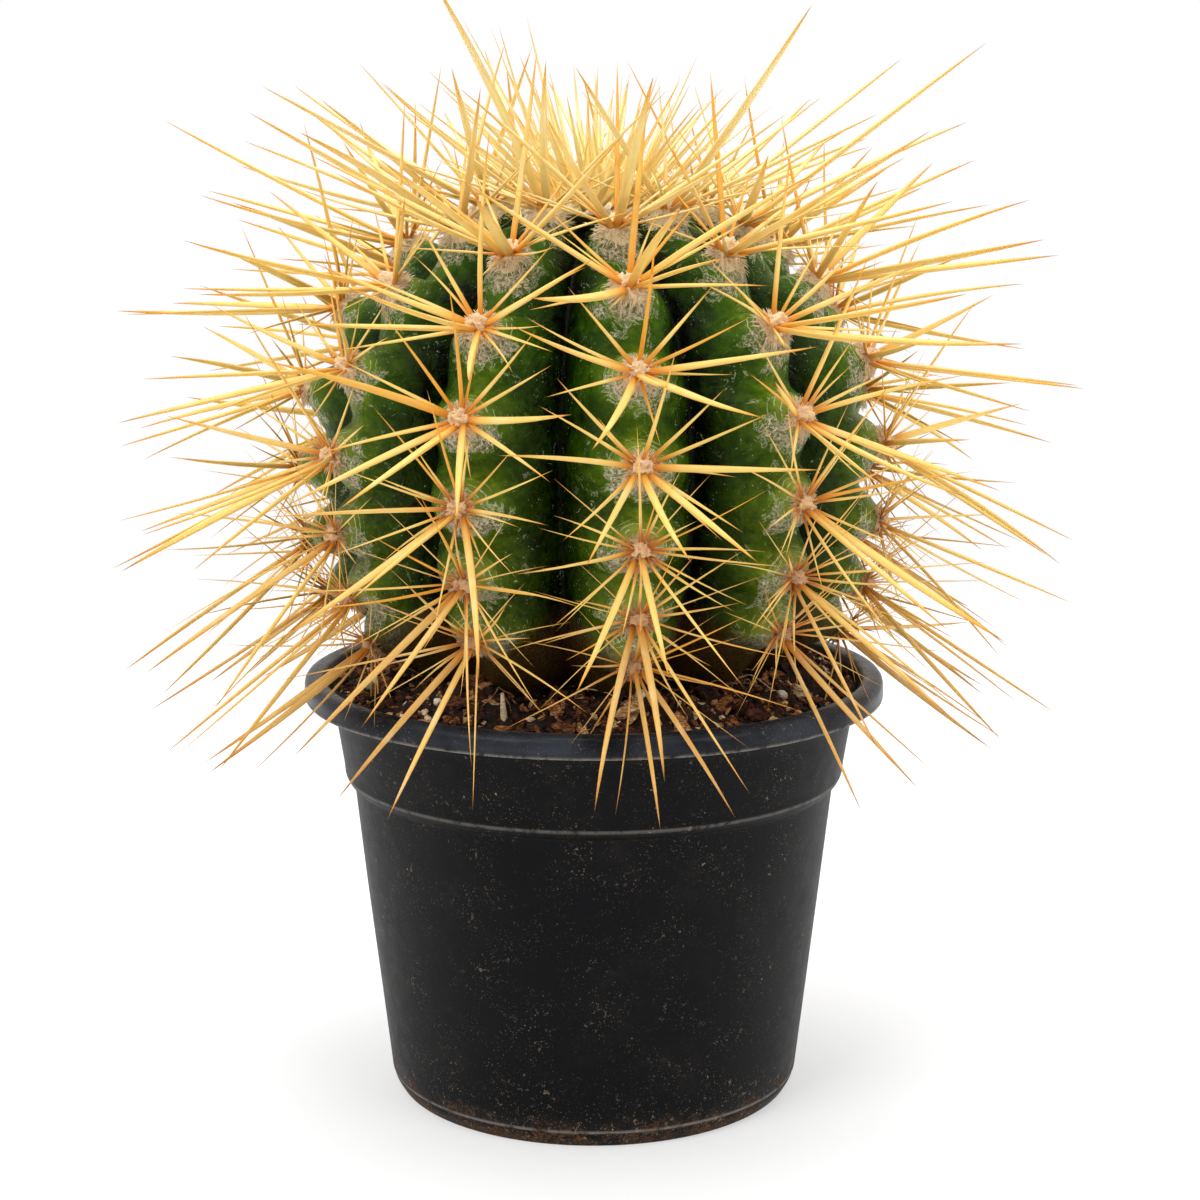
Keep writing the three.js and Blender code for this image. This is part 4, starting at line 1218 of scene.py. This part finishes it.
def make_crown_spines():
    sheaf = Sheaf()
    for foot, tip in crown_spines:
        length = np.linalg.norm(tip - foot)
        facing = unit(foot * [1, 1, 0] + [0.1, 0, 0])
        bend = chance_bend(tip - foot, BEND_SHARE * length)
        width = spine_draw.uniform(*CROWN_WIDTHS)
        tint = spine_draw.random() * 0.88
        add_blade(sheaf, foot, tip, width, facing, bend, CROWN_AGE, tint, CROWN_FULLNESS)
    for i in range(CROWN_EXTRA):
        radius = (CROWN_RADIUS + CROWN_SPREAD) * math.sqrt((i + 0.5) / CROWN_EXTRA)
        theta = i * GOLDEN_TURN + 0.4
        lean = math.radians(5 + 3.4 * radius + spine_draw.uniform(-18, 18))
        way = around(theta + spine_draw.uniform(-0.9, 0.9), math.sin(lean), math.cos(lean))
        foot = around(theta, radius, crown_height(radius) + 2.5)
        tip = foot + way * spine_draw.uniform(*CROWN_EXTRA_LENGTHS)
        facing = unit(foot * [1, 1, 0] + [0.1, 0, 0])
        bend = chance_bend(way, 0.7)
        width = spine_draw.uniform(*CROWN_EXTRA_WIDTHS)
        tint = spine_draw.random() * 0.84
        add_blade(sheaf, foot, tip, width, facing, bend, CROWN_EXTRA_AGE, tint)
    return sheaf.piece("crown_spines", spine_finish, "crown_felt", "crown")


make_crown_spines()

# %% [markdown]
# ## Felt
#
# Felt is a mat of short hairs. From a step away it reads as a soft lump with a ragged fringe, so
# each areole gets both: a lumpy pad that hides the roots of the spines, and hairs all over it,
# more of them round its edge, a little longer below than above. The pad is draped: each of its
# points is first dropped onto the skin, so the pad follows the swelling under it and never floats.
# Blender's own hair would do this too, but plain three-sided hairs stay real meshes. Young felt
# is cream, older felt pinkish and then brown.

# %% Felt finish
felt_by_age = {0.0: "fff0cc", 0.35: "fde6be", 0.65: "f6d2a4", 0.85: "d8ac80", 1.0: "a87e54"}


def make_felt_finish():
    felt = Finish("felt")
    age, tint = map(felt.number, ("age", "tint"))
    lump = felt.grain(0.8, 4, 0.65)
    paint = felt.coats(
        felt.ramp(age + (lump - 0.5) * 0.5, felt_by_age),
        (tint.ease(0.75, 1.0) * 0.2, "dcae90"),
        (lump.ease(0.5, 0.75) * 0.4, "fff6ea"),
        (lump.ease(0.45, 0.3) * 0.45, "c07c44"),
    )
    return felt.done(
        Base_Color=paint, Roughness=0.95, Normal=felt.relief(felt.grain(0.45, 3, 0.6), 0.06),
        Specular_IOR_Level=0.05, Sheen_Weight=0.3, Sheen_Roughness=0.5, Sheen_Tint="ffe9c8",
        Subsurface_Weight=0.3, Subsurface_Radius=(1.0, 0.8, 0.6), Subsurface_Scale=0.0008,
    )


felt_finish = make_felt_finish()

# %% [markdown]
# ### Pads and hairs
#
# A pad is a stack of rings that shrink to its middle, pushed up into a low dome and roughened by
# noise of two sizes. Tufts are short hairs all over it, and the fringe is more and longer hairs
# round its edge. Both bend down a little at their ends.

# %% Pads and hairs
PAD_RINGS = 13
PAD_SIDES = 40
HAIR_ROWS = 3
HAIR_SIDES = 3
FELT_RADIUS = (2.9, 4.6)  # old and young
FELT_HEIGHT = (1.2, 2.3)
FELT_FILL = (0.5, 1.0)  # share of the hairs that are there
FELT_AGES = (0.15, 0.9)  # felt shrinks and thins from the first of these ages to the second
FELT_DOME = 0.6
FELT_LUMP = 0.9
FELT_SUNK = 0.4
HAIR_HANG = np.array([0, 0, -0.12])
TUFTS = {"count": 110, "length": 1.2, "longer": 0.0, "thickness": 0.36, "inner": 0.1}
FRINGE = {"count": 170, "length": 1.5, "longer": 0.5, "thickness": 0.34, "inner": 0.72}
SKIN_SEARCH = 8.0  # how far over an areole the search for the skin starts

felt_draw = random.Random(7)
skin_tree = BVHTree.FromObject(body, bpy.context.evaluated_depsgraph_get())
pad_faces = pointed(PAD_RINGS, PAD_SIDES)
hair_faces = pointed(HAIR_ROWS, HAIR_SIDES)


def skin_under(areole, x, y):
    """The point of the skin under an areole, x to its side and y up the rib."""
    start = areole["middle"] + x * areole["side"] + y * areole["up"] + SKIN_SEARCH * areole["out"]
    found = skin_tree.ray_cast(Vector(start) * MM, Vector(-areole["out"]), 2 * SKIN_SEARCH * MM)[0]
    return np.array(found) / MM if found else start - SKIN_SEARCH * areole["out"]


def add_pad(sheaf, areole, radius, height):
    """A lumpy pad that is draped over the skin, its edge sunk in."""
    ring = np.linspace(1, 0, PAD_RINGS + 1)[:-1, None]
    turn = full_turn(PAD_SIDES)
    level = radius * ring * (1 + 0.1 * np.sin(3 * turn + felt_draw.uniform(0, 6)))
    x, y = (level * np.sin(turn)).ravel(), (level * np.cos(turn)).ravel()
    points = np.array([skin_under(areole, *place) for place in zip([*x, 0], [*y, 0])])
    share = np.append(np.repeat(ring, PAD_SIDES), 0)
    rise = height * (1 - share ** 2) ** FELT_DOME
    rise *= 1 + FELT_LUMP * rough(points, 1.7, 5) + FELT_LUMP * rough(points, 0.75, 9)
    points += (rise - FELT_SUNK * share)[:, None] * areole["out"]
    sheaf.add(points, pad_faces, age=areole["age"], tint=0.3)


def add_hair(sheaf, root, way, droop, length, thickness, age, tint):
    """A three-sided hair that starts along way and bends by droop."""
    share = np.linspace(0, 1, HAIR_ROWS + 1)
    line = root + np.outer(share, way * length) + np.outer(share ** 2, droop * length)
    first = unit(np.cross(way, [0.3, 0.5, 0.81]))
    second = np.cross(way, first)
    turn = np.arange(HAIR_SIDES) * 2 * math.pi / HAIR_SIDES
    section = np.cos(turn)[:, None] * first + np.sin(turn)[:, None] * second
    half = thickness / 2 * (1 - 0.6 * share[:-1])
    rings = line[:-1, None] + half[:, None, None] * section
    sheaf.add(np.concatenate([rings.reshape(-1, 3), line[-1:]]), hair_faces, age=age, tint=tint)


def add_wool(sheaf, areole, radius, height, count, length, thickness, inner):
    """Strands on a pad from inner, a share of its radius, outwards; the outer ones lie flatter."""
    for _ in range(count):
        turn = felt_draw.uniform(0, 2 * math.pi)
        share = math.sqrt(felt_draw.uniform(inner ** 2, 1))
        level = areole["side"] * math.sin(turn) + areole["up"] * math.cos(turn)
        root = skin_under(areole, radius * share * math.sin(turn), radius * share * math.cos(turn))
        root = root + areole["out"] * (height * (1 - share ** 2) ** FELT_DOME - 0.5 * thickness)
        lift = math.radians(70 - 58 * share + felt_draw.uniform(-18, 18))
        way = level * math.cos(lift) + areole["out"] * math.sin(lift)
        way = unit(way + 0.3 * np.array([felt_draw.uniform(-1, 1) for _ in range(3)]))
        below = 1 + 0.25 * share * max(0, -math.cos(turn))
        droop = -0.25 * areole["out"] + HAIR_HANG
        add_hair(sheaf, root, way, droop, length * below * felt_draw.uniform(0.6, 1.25),
                 thickness * felt_draw.uniform(0.7, 1.3), areole["age"], felt_draw.random())


def make_felt():
    pads = Sheaf()
    hairs = [Sheaf() for _ in range(rib_groups)]
    for areole in areoles:
        youth = 1 - limited((areole["age"] - FELT_AGES[0]) / (FELT_AGES[1] - FELT_AGES[0]))
        radius, height, fill = (mixed(*ends, youth) for ends in (FELT_RADIUS, FELT_HEIGHT, FELT_FILL))
        sheaf = hairs[areole["rib"] // RIBS_PER_SHEAF]
        add_pad(pads, areole, radius, height)
        for wool in (TUFTS, FRINGE):
            add_wool(sheaf, areole, radius, height, int(wool["count"] * fill),
                     wool["length"] + wool["longer"] * youth, wool["thickness"], wool["inner"])
    pads.piece("areole_pads", felt_finish, "crown_felt", "cactus")
    for group, sheaf in enumerate(hairs):
        sheaf.piece(f"areole_hairs_{group + 1}", felt_finish, "crown_felt", "cactus")


make_felt()

# %% [markdown]
# ### Crown felt
#
# In the crown the youngest areoles run together into one soft cap. It is a domed sheet that
# closes along its rim, lumpy where an areole will form, with hairs all over it.

# %% Crown felt
CAP_RINGS = 26
CAP_UNDER_RINGS = 8
CAP_SIDES = 88
CAP_THICKNESS = 4.2
CAP_LIFT = 0.5  # the cap's underside lies this much over the skin
CAP_LOBE = 0.5  # and its rim is this much thicker over each rib
CAP_AGE = 0.05
CAP_TINT = 0.2
CAP_HAIRS = 900
CAP_HAIR_LENGTHS = (1.6, 3.4)
CAP_HAIR_WIDTHS = (0.12, 0.24)


def cap_surface(share, theta, top):
    """The cap's upper or lower surface at shares of its radius."""
    radius = CROWN_RADIUS * share
    under = crown_height(radius) + CAP_LIFT
    thick = CAP_THICKNESS * (1 - share ** 2) ** 0.5
    thick = thick + CAP_LOBE * np.cos((theta - FIRST_CREST) * RIB_COUNT) * share
    return around(theta, radius, under + thick if top else under)


def make_crown_felt():
    theta = full_turn(CAP_SIDES)
    under = cap_surface(np.linspace(0.04, 0.97, CAP_UNDER_RINGS)[:, None], theta, False)
    over = cap_surface(np.linspace(1, 0.02, CAP_RINGS)[:, None], theta, True)
    over[..., 2] += 0.9 * rough(over, 3.2, 3) + 0.4 * rough(over, 1.2, 4)
    poles = [(0, 0, crown_height(0) + CAP_LIFT), over[-1].mean(axis=0)]
    points = np.concatenate([under.reshape(-1, 3), over.reshape(-1, 3), poles])
    faces = closed(CAP_UNDER_RINGS + CAP_RINGS, CAP_SIDES)
    age, tint = np.full(len(points), CAP_AGE), np.full(len(points), CAP_TINT)
    make_piece("crown_cap", points, faces, felt_finish, "crown_felt", "crown", age=age, tint=tint)
    hairs = Sheaf()
    for i in range(CAP_HAIRS):
        share = math.sqrt((i + 0.5) / CAP_HAIRS)
        theta = i * GOLDEN_TURN
        root = cap_surface(np.array(share * 0.99), np.array(theta), True) - [0, 0, 0.4]
        lean = math.radians(10 + 65 * share + felt_draw.uniform(-25, 25))
        way = around(theta + felt_draw.uniform(-0.7, 0.7), math.sin(lean), math.cos(lean))
        length, width = felt_draw.uniform(*CAP_HAIR_LENGTHS), felt_draw.uniform(*CAP_HAIR_WIDTHS)
        age, tint = felt_draw.uniform(0, 0.25), felt_draw.random() * 0.8
        add_hair(hairs, root, way, np.array([0, 0, -0.2]), length, width, age, tint)
    hairs.piece("crown_hairs", felt_finish, "crown_felt", "crown")


make_crown_felt()

# %% [markdown]
# ## Soil
#
# The potting mix is composted bark: dark crumbs, splintered chips that catch the light, a few
# white pumice grains and dry rootlets where the plant meets it. A bed with rough relief fills the
# gaps, and about five thousand chips and crumbs lie on it at all angles. A noise bump on a flat
# disc would look like carpet, because real chips throw shadows into the gaps between them.

# %% Soil finishes
bark_colours = {
    0.0: "0c0401", 0.25: "2c1206", 0.45: "5e2c0e", 0.65: "a06430", 0.85: "dcac72", 1.0: "fbe8c6",
}
pumice_colours = {0.3: "b39c80", 0.48: "e6dccb", 0.7: "f6f1e6"}
FIBRE_LAY = (0.6, 1.3, 2.2)  # bark's fibres lie longer one way than the others


def make_bark_finish():
    bark = Finish("bark soil")
    fibre = bark.grain(0.8, 4, 0.65, at=bark.vector("MULTIPLY", bark.place, FIBRE_LAY))
    clump = bark.grain(5, 3, 0.6)
    paint = bark.ramp(bark.number("tint") + (fibre - 0.5) * 1.3, bark_colours)
    paint = bark.over(clump.ease(0.55, 0.8) * 0.5, paint, "1a0f09")
    damp = bark.maths("ADD", 0.5, bark.grain(2.2, 3, 0.6) * 0.6, clamp=True)
    crumbly = bark.relief(fibre, 0.5, bark.relief(bark.grain(0.5, 4, 0.7), 0.25))
    return bark.done(Base_Color=paint, Roughness=damp, Normal=crumbly, Specular_IOR_Level=0.45)


def make_pumice_finish():
    pumice = Finish("pumice grains")
    pits, _ = pumice.cells(0.8)
    paint = pumice.ramp(pumice.grain(2.5, 4, 0.65), pumice_colours)
    paint = pumice.over(pits.ease(0.35, 0.1) * 0.5, paint, "8d7558")
    return pumice.done(Base_Color=paint, Roughness=0.85, Normal=pumice.relief(pits, 0.3),
                       Specular_IOR_Level=0.3)


bark_finish = make_bark_finish()
pumice_finish = make_pumice_finish()

# %% [markdown]
# ### The bed
#
# The bed fills the pot from its floor to just under the rim and lies a little higher against the
# plant. Under the plant it drops away as the socket that the body sits in, which is why its
# height is always kept below the skin above it.

# %% Soil bed
SOIL_EDGE_Z = 99.2
SOIL_MOUND = 5.6
SOIL_MOUND_WIDTH = 12.0
SOIL_GAP = 0.3
BED_SIDES = 260
BED_RINGS = 60
NO_CEILING = 200  # height that limits nothing, for places that the plant doesn't cover
(mouth_radius, mouth_z, _), (flare_radius, flare_z, _) = inner_wall[:2]
flare_share = (SOIL_EDGE_Z - flare_z) / (mouth_z - flare_z)
soil_edge_radius = flare_radius + flare_share * (mouth_radius - flare_radius) - SOIL_GAP


def skin_underside(theta, highest=100, rows=90):
    """Radius and height of the lower skin at each angle, from the root up to an arc length."""
    points, _, _, _ = skin_grid(np.linspace(crest_length, highest, rows), theta)
    return np.hypot(points[..., 0], points[..., 1]), points[..., 2]


def bed_height(theta, radius):
    inward = np.clip((soil_edge_radius - radius) / SOIL_MOUND_WIDTH, 0, 1)
    return SOIL_EDGE_Z + SOIL_MOUND * inward


def make_bed():
    theta = full_turn(BED_SIDES)
    sides = [(radius - SOIL_GAP, z + SOIL_GAP) for radius, z, _ in inner_wall[:0:-1]]
    sides.append((soil_edge_radius, SOIL_EDGE_Z - SOIL_GAP))
    sides = [around(theta, radius, np.full(BED_SIDES, z)) for radius, z in sides]
    rings = soil_edge_radius * np.linspace(1, 0.02, BED_RINGS)[:, None] * np.ones(BED_SIDES)
    top = around(theta, rings, bed_height(theta, rings))
    inward = np.clip((soil_edge_radius - rings) / 2, 0, 1)
    top[..., 2] += inward * (0.9 * rough(top, 4.5, 6) + 0.5 * rough(top, 1.7, 7))
    skin_radius, skin_z = skin_underside(theta)
    for column in range(BED_SIDES):
        skin_line = skin_radius[:, column], skin_z[:, column]
        ceiling = np.interp(rings[:, column], *skin_line, right=NO_CEILING)
        top[:, column, 2] = np.minimum(top[:, column, 2], ceiling - SOIL_GAP)
    poles = [(0, 0, inner_wall[-1][1] + SOIL_GAP), (0, 0, ROOT_END_Z - ROOT_TIP_DROP - SOIL_GAP)]
    points = np.concatenate([*sides, top.reshape(-1, 3), poles])
    # The bed's dark tint is partly the mix's own dark fines and partly painted shade for the gaps
    # between the chips.
    tint = np.clip(0.1 + 0.2 * rough(points, 3, 8), 0, 1)
    faces = closed(len(sides) + BED_RINGS, BED_SIDES)
    make_piece("soil_bed", points, faces, bark_finish, "bark_soil", "soil", tint=tint)


make_bed()

# %% [markdown]
# ### Chips and grains
#
# Each chip starts as a ball of small triangles that is knocked out of shape by its own noise and
# squashed, so no two are alike. They lie in the open ring between plant and pot, the large ones
# first and the crumbs between them. The pumice grains seen in front are laid in their places, and
# the rest of the ring gets a few by chance.

# %% Chips and crumbs
def ball(cuts):
    """Points and faces of a ball made of triangles, one unit in radius."""
    mould = bmesh.new()
    bmesh.ops.create_icosphere(mould, subdivisions=cuts, radius=1)
    points = np.array([vertex.co for vertex in mould.verts])
    faces = [[vertex.index for vertex in face.verts] for face in mould.faces]
    mould.free()
    return points, faces


CHIPS = {"count": 420, "sizes": (1.3, 3.4), "knock": 0.95, "tints": (0.28, 0.12)}
CRUMBS = {"count": 4600, "sizes": (0.3, 1.7), "knock": 0.55, "tints": (0.28, 0.18)}
SMALLEST_SHARE = 0.3  # this share of the lumps is of the smallest size
INNERMOST = 30  # no soil shows nearer to the axis than this
LUMP_WIDTHS = (0.25, 0.7)  # as shares of its length
LUMP_HEIGHTS = (0.25, 0.6)
LIGHT_SHARE = 0.3  # this share of the lumps is paler than the rest, by this much
LIGHT_CHIP = 0.4
coarse_ball, middle_ball, fine_ball = ball(1), ball(2), ball(3)
soil_draw = random.Random(23)
skin_out_radius, skin_out_z = skin_underside(full_turn(360))


def skin_radius_near(theta, z):
    """How far out the skin reaches at an angle and a height near the soil."""
    column = int(math.degrees(theta)) % 360
    return float(np.interp(z, skin_out_z[:, column], skin_out_radius[:, column]))


def turned_at_random(points, tilt):
    """Points turned by any angle about the upright and tipped by up to tilt."""
    turn = [soil_draw.uniform(*limits) for limits in ((-tilt, tilt), (-tilt, tilt), (0, 7))]
    return points @ np.array(Euler(turn).to_matrix()).T


def add_lump(sheaf, shape, theta, radius, size, squash, knock, above, tint, tilt=0.6):
    """A lump of bark or pumice, knocked out of shape, its middle a little above the bed."""
    points, faces = shape
    swing = soil_draw.uniform(0, 90)
    lumps = rough(points + swing, 0.8, 1) + 0.6 * rough(points + swing, 0.3, 2)
    points = points * (1 + knock * lumps)[:, None] * size * np.array(squash)
    points = turned_at_random(points, tilt)
    place = around(theta, radius, bed_height(theta, radius) + above)
    sheaf.add(points + place, faces, tint=tint)


def scatter(name, shape, count, sizes, knock, tints):
    """A piece made of lumps over the open ring of soil, spread evenly by area."""
    sheaf = Sheaf()
    placed = 0
    while placed < count:
        size = soil_draw.uniform(*sizes) if soil_draw.random() < 1 - SMALLEST_SHARE else sizes[0]
        theta = soil_draw.uniform(0, 2 * math.pi)
        inner = skin_radius_near(theta, SOIL_EDGE_Z + SOIL_MOUND) + 0.4 * size
        outer = soil_edge_radius + 0.2 - size
        radius = math.sqrt(soil_draw.uniform(INNERMOST ** 2, outer ** 2))
        if radius < inner:
            continue
        squash = (1.0, soil_draw.uniform(*LUMP_WIDTHS), soil_draw.uniform(*LUMP_HEIGHTS))
        tint = soil_draw.gauss(*tints) + (LIGHT_CHIP if soil_draw.random() < LIGHT_SHARE else 0)
        tint = min(1, max(0.02, tint))
        above = soil_draw.uniform(0.0, 0.5) * size
        add_lump(sheaf, shape, theta, radius, size, squash, knock, above, tint, tilt=1.0)
        placed += 1
    sheaf.piece(name, bark_finish, "bark_soil", "soil", smooth=False)


scatter("bark_chips", middle_ball, **CHIPS)
scatter("bark_crumbs", coarse_ball, **CRUMBS)

# %% Pumice grains
grains = [  # the ones in front, as angle from the front in degrees, radius and size
    (-68.0, 56.0, 2.2),
    (-39.8, 54.6, 1.2),
    (13.5, 47.5, 2.3),
    (0.9, 40.5, 1.5),
    (36.9, 40.5, 1.2),
    (52.0, 55.0, 1.3),
]
GRAINS_ELSEWHERE = 9
GRAIN_SQUASH = (1, 0.85, 0.8)
GRAIN_KNOCK = 0.16


def grain_elsewhere(i):
    """Angle, radius and size of one of the grains round the back."""
    degrees = 75 + 210 * (i + soil_draw.random()) / GRAINS_ELSEWHERE
    size = soil_draw.uniform(0.9, 2.0)
    return degrees, soil_draw.uniform(50, 58), size


def add_grain(sheaf, degrees, radius, size):
    theta = math.radians(degrees)
    add_lump(sheaf, fine_ball, theta, radius, size, GRAIN_SQUASH, GRAIN_KNOCK, 0.5 * size, 0)


def make_grains():
    sheaf = Sheaf()
    for grain in grains:
        add_grain(sheaf, *grain)
    for i in range(GRAINS_ELSEWHERE):
        add_grain(sheaf, *grain_elsewhere(i))
    sheaf.piece("pumice_grains", pumice_finish, "bark_soil", "soil")


make_grains()

# %% [markdown]
# ### Rootlets
#
# Fine dry roots and stalks stick out of the mix round the neck of the plant. Each is a thin
# five-sided tube along a line that rises, bends and sinks in again. One pale splinter stands
# upright in the soil on the left.

# %% Rootlets and a splinter
ROOTLETS = 60
ROOTLET_ROWS = 9
ROOTLET_SIDES = 5
ROOTLET_TIP = 0.35  # thickness at the tip as a share
SPLINTER_THETA = math.radians(-20.4)
SPLINTER_RADIUS = 57.0
SPLINTER_Z = 100.0
SPLINTER_THICKNESS = 2.2
splinter_bends = [(0, 0, 0), (0.1, 0.1, 3), (-0.1, 0, 6), (-0.2, 0.1, 8.6)]


def add_rootlet(sheaf, points, thickness, tint):
    """A thin dry root along a bent line of points."""
    line = np.array(points)
    way = np.gradient(line, axis=0)
    way /= np.linalg.norm(way, axis=1)[:, None]
    first = np.cross(way, [0.2, 0.3, 0.93])
    first /= np.linalg.norm(first, axis=1)[:, None]
    second = np.cross(way, first)
    turn = np.arange(ROOTLET_SIDES) * 2 * math.pi / ROOTLET_SIDES
    half = thickness / 2 * np.linspace(1, ROOTLET_TIP, len(line))[:, None, None]
    section = np.cos(turn)[:, None] * first[:, None] + np.sin(turn)[:, None] * second[:, None]
    rings = line[:, None] + half * section
    count = ROOTLET_SIDES * len(line)
    faces = faces_of_rings(len(line), ROOTLET_SIDES)
    faces += [list(range(ROOTLET_SIDES - 1, -1, -1)), list(range(count - ROOTLET_SIDES, count))]
    sheaf.add(rings.reshape(-1, 3), faces, tint=tint)


def rootlet_line():
    """Points of a root that rises from the soil near the plant and sinks in again further out."""
    theta = soil_draw.uniform(0, 2 * math.pi)
    start = skin_radius_near(theta, SOIL_EDGE_Z + SOIL_MOUND) + soil_draw.uniform(0, 4)
    reach = soil_draw.uniform(4, 10)
    sweep = soil_draw.uniform(-0.25, 0.25)
    top = soil_draw.uniform(0.5, 3.0)
    line = []
    for share in np.linspace(0, 1, ROOTLET_ROWS):
        radius = min(start + reach * share, soil_edge_radius - 0.5)
        height = bed_height(theta, radius) + 1.2 + top * math.sin(math.pi * share) - 1.4 * share
        wobble = 0.02 * math.sin(7 * share + sweep * 40)
        line.append(around(theta + sweep * share ** 1.4 + wobble, radius, height))
    return line


def make_rootlets():
    sheaf = Sheaf()
    for _ in range(ROOTLETS):
        line = rootlet_line()
        add_rootlet(sheaf, line, soil_draw.uniform(0.25, 0.6), soil_draw.uniform(0.55, 0.9))
    foot = around(SPLINTER_THETA, SPLINTER_RADIUS, SPLINTER_Z)
    add_rootlet(sheaf, [foot + bend for bend in splinter_bends], SPLINTER_THICKNESS, 1.0)
    sheaf.piece("rootlets", bark_finish, "bark_soil", "soil")


make_rootlets()

# %% [markdown]
# ## Measure the size
#
# Both boxes, the construction model's and the dressed plant's, are measured and kept, and their
# sizes are printed in millimetres. Nothing may stand further out than the construction model by
# more than a whisker of each side, so both boxes are measured and kept.

# %% Measure and print the sizes
dressed_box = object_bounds()
sizes = {
    "cad": [list(corner) for corner in model_box],
    "visual": [list(corner) for corner in dressed_box],
}
for name, (low, high) in sizes.items():
    print(name, [round(1000 * (b - a), 1) for a, b in zip(low, high)], "mm")
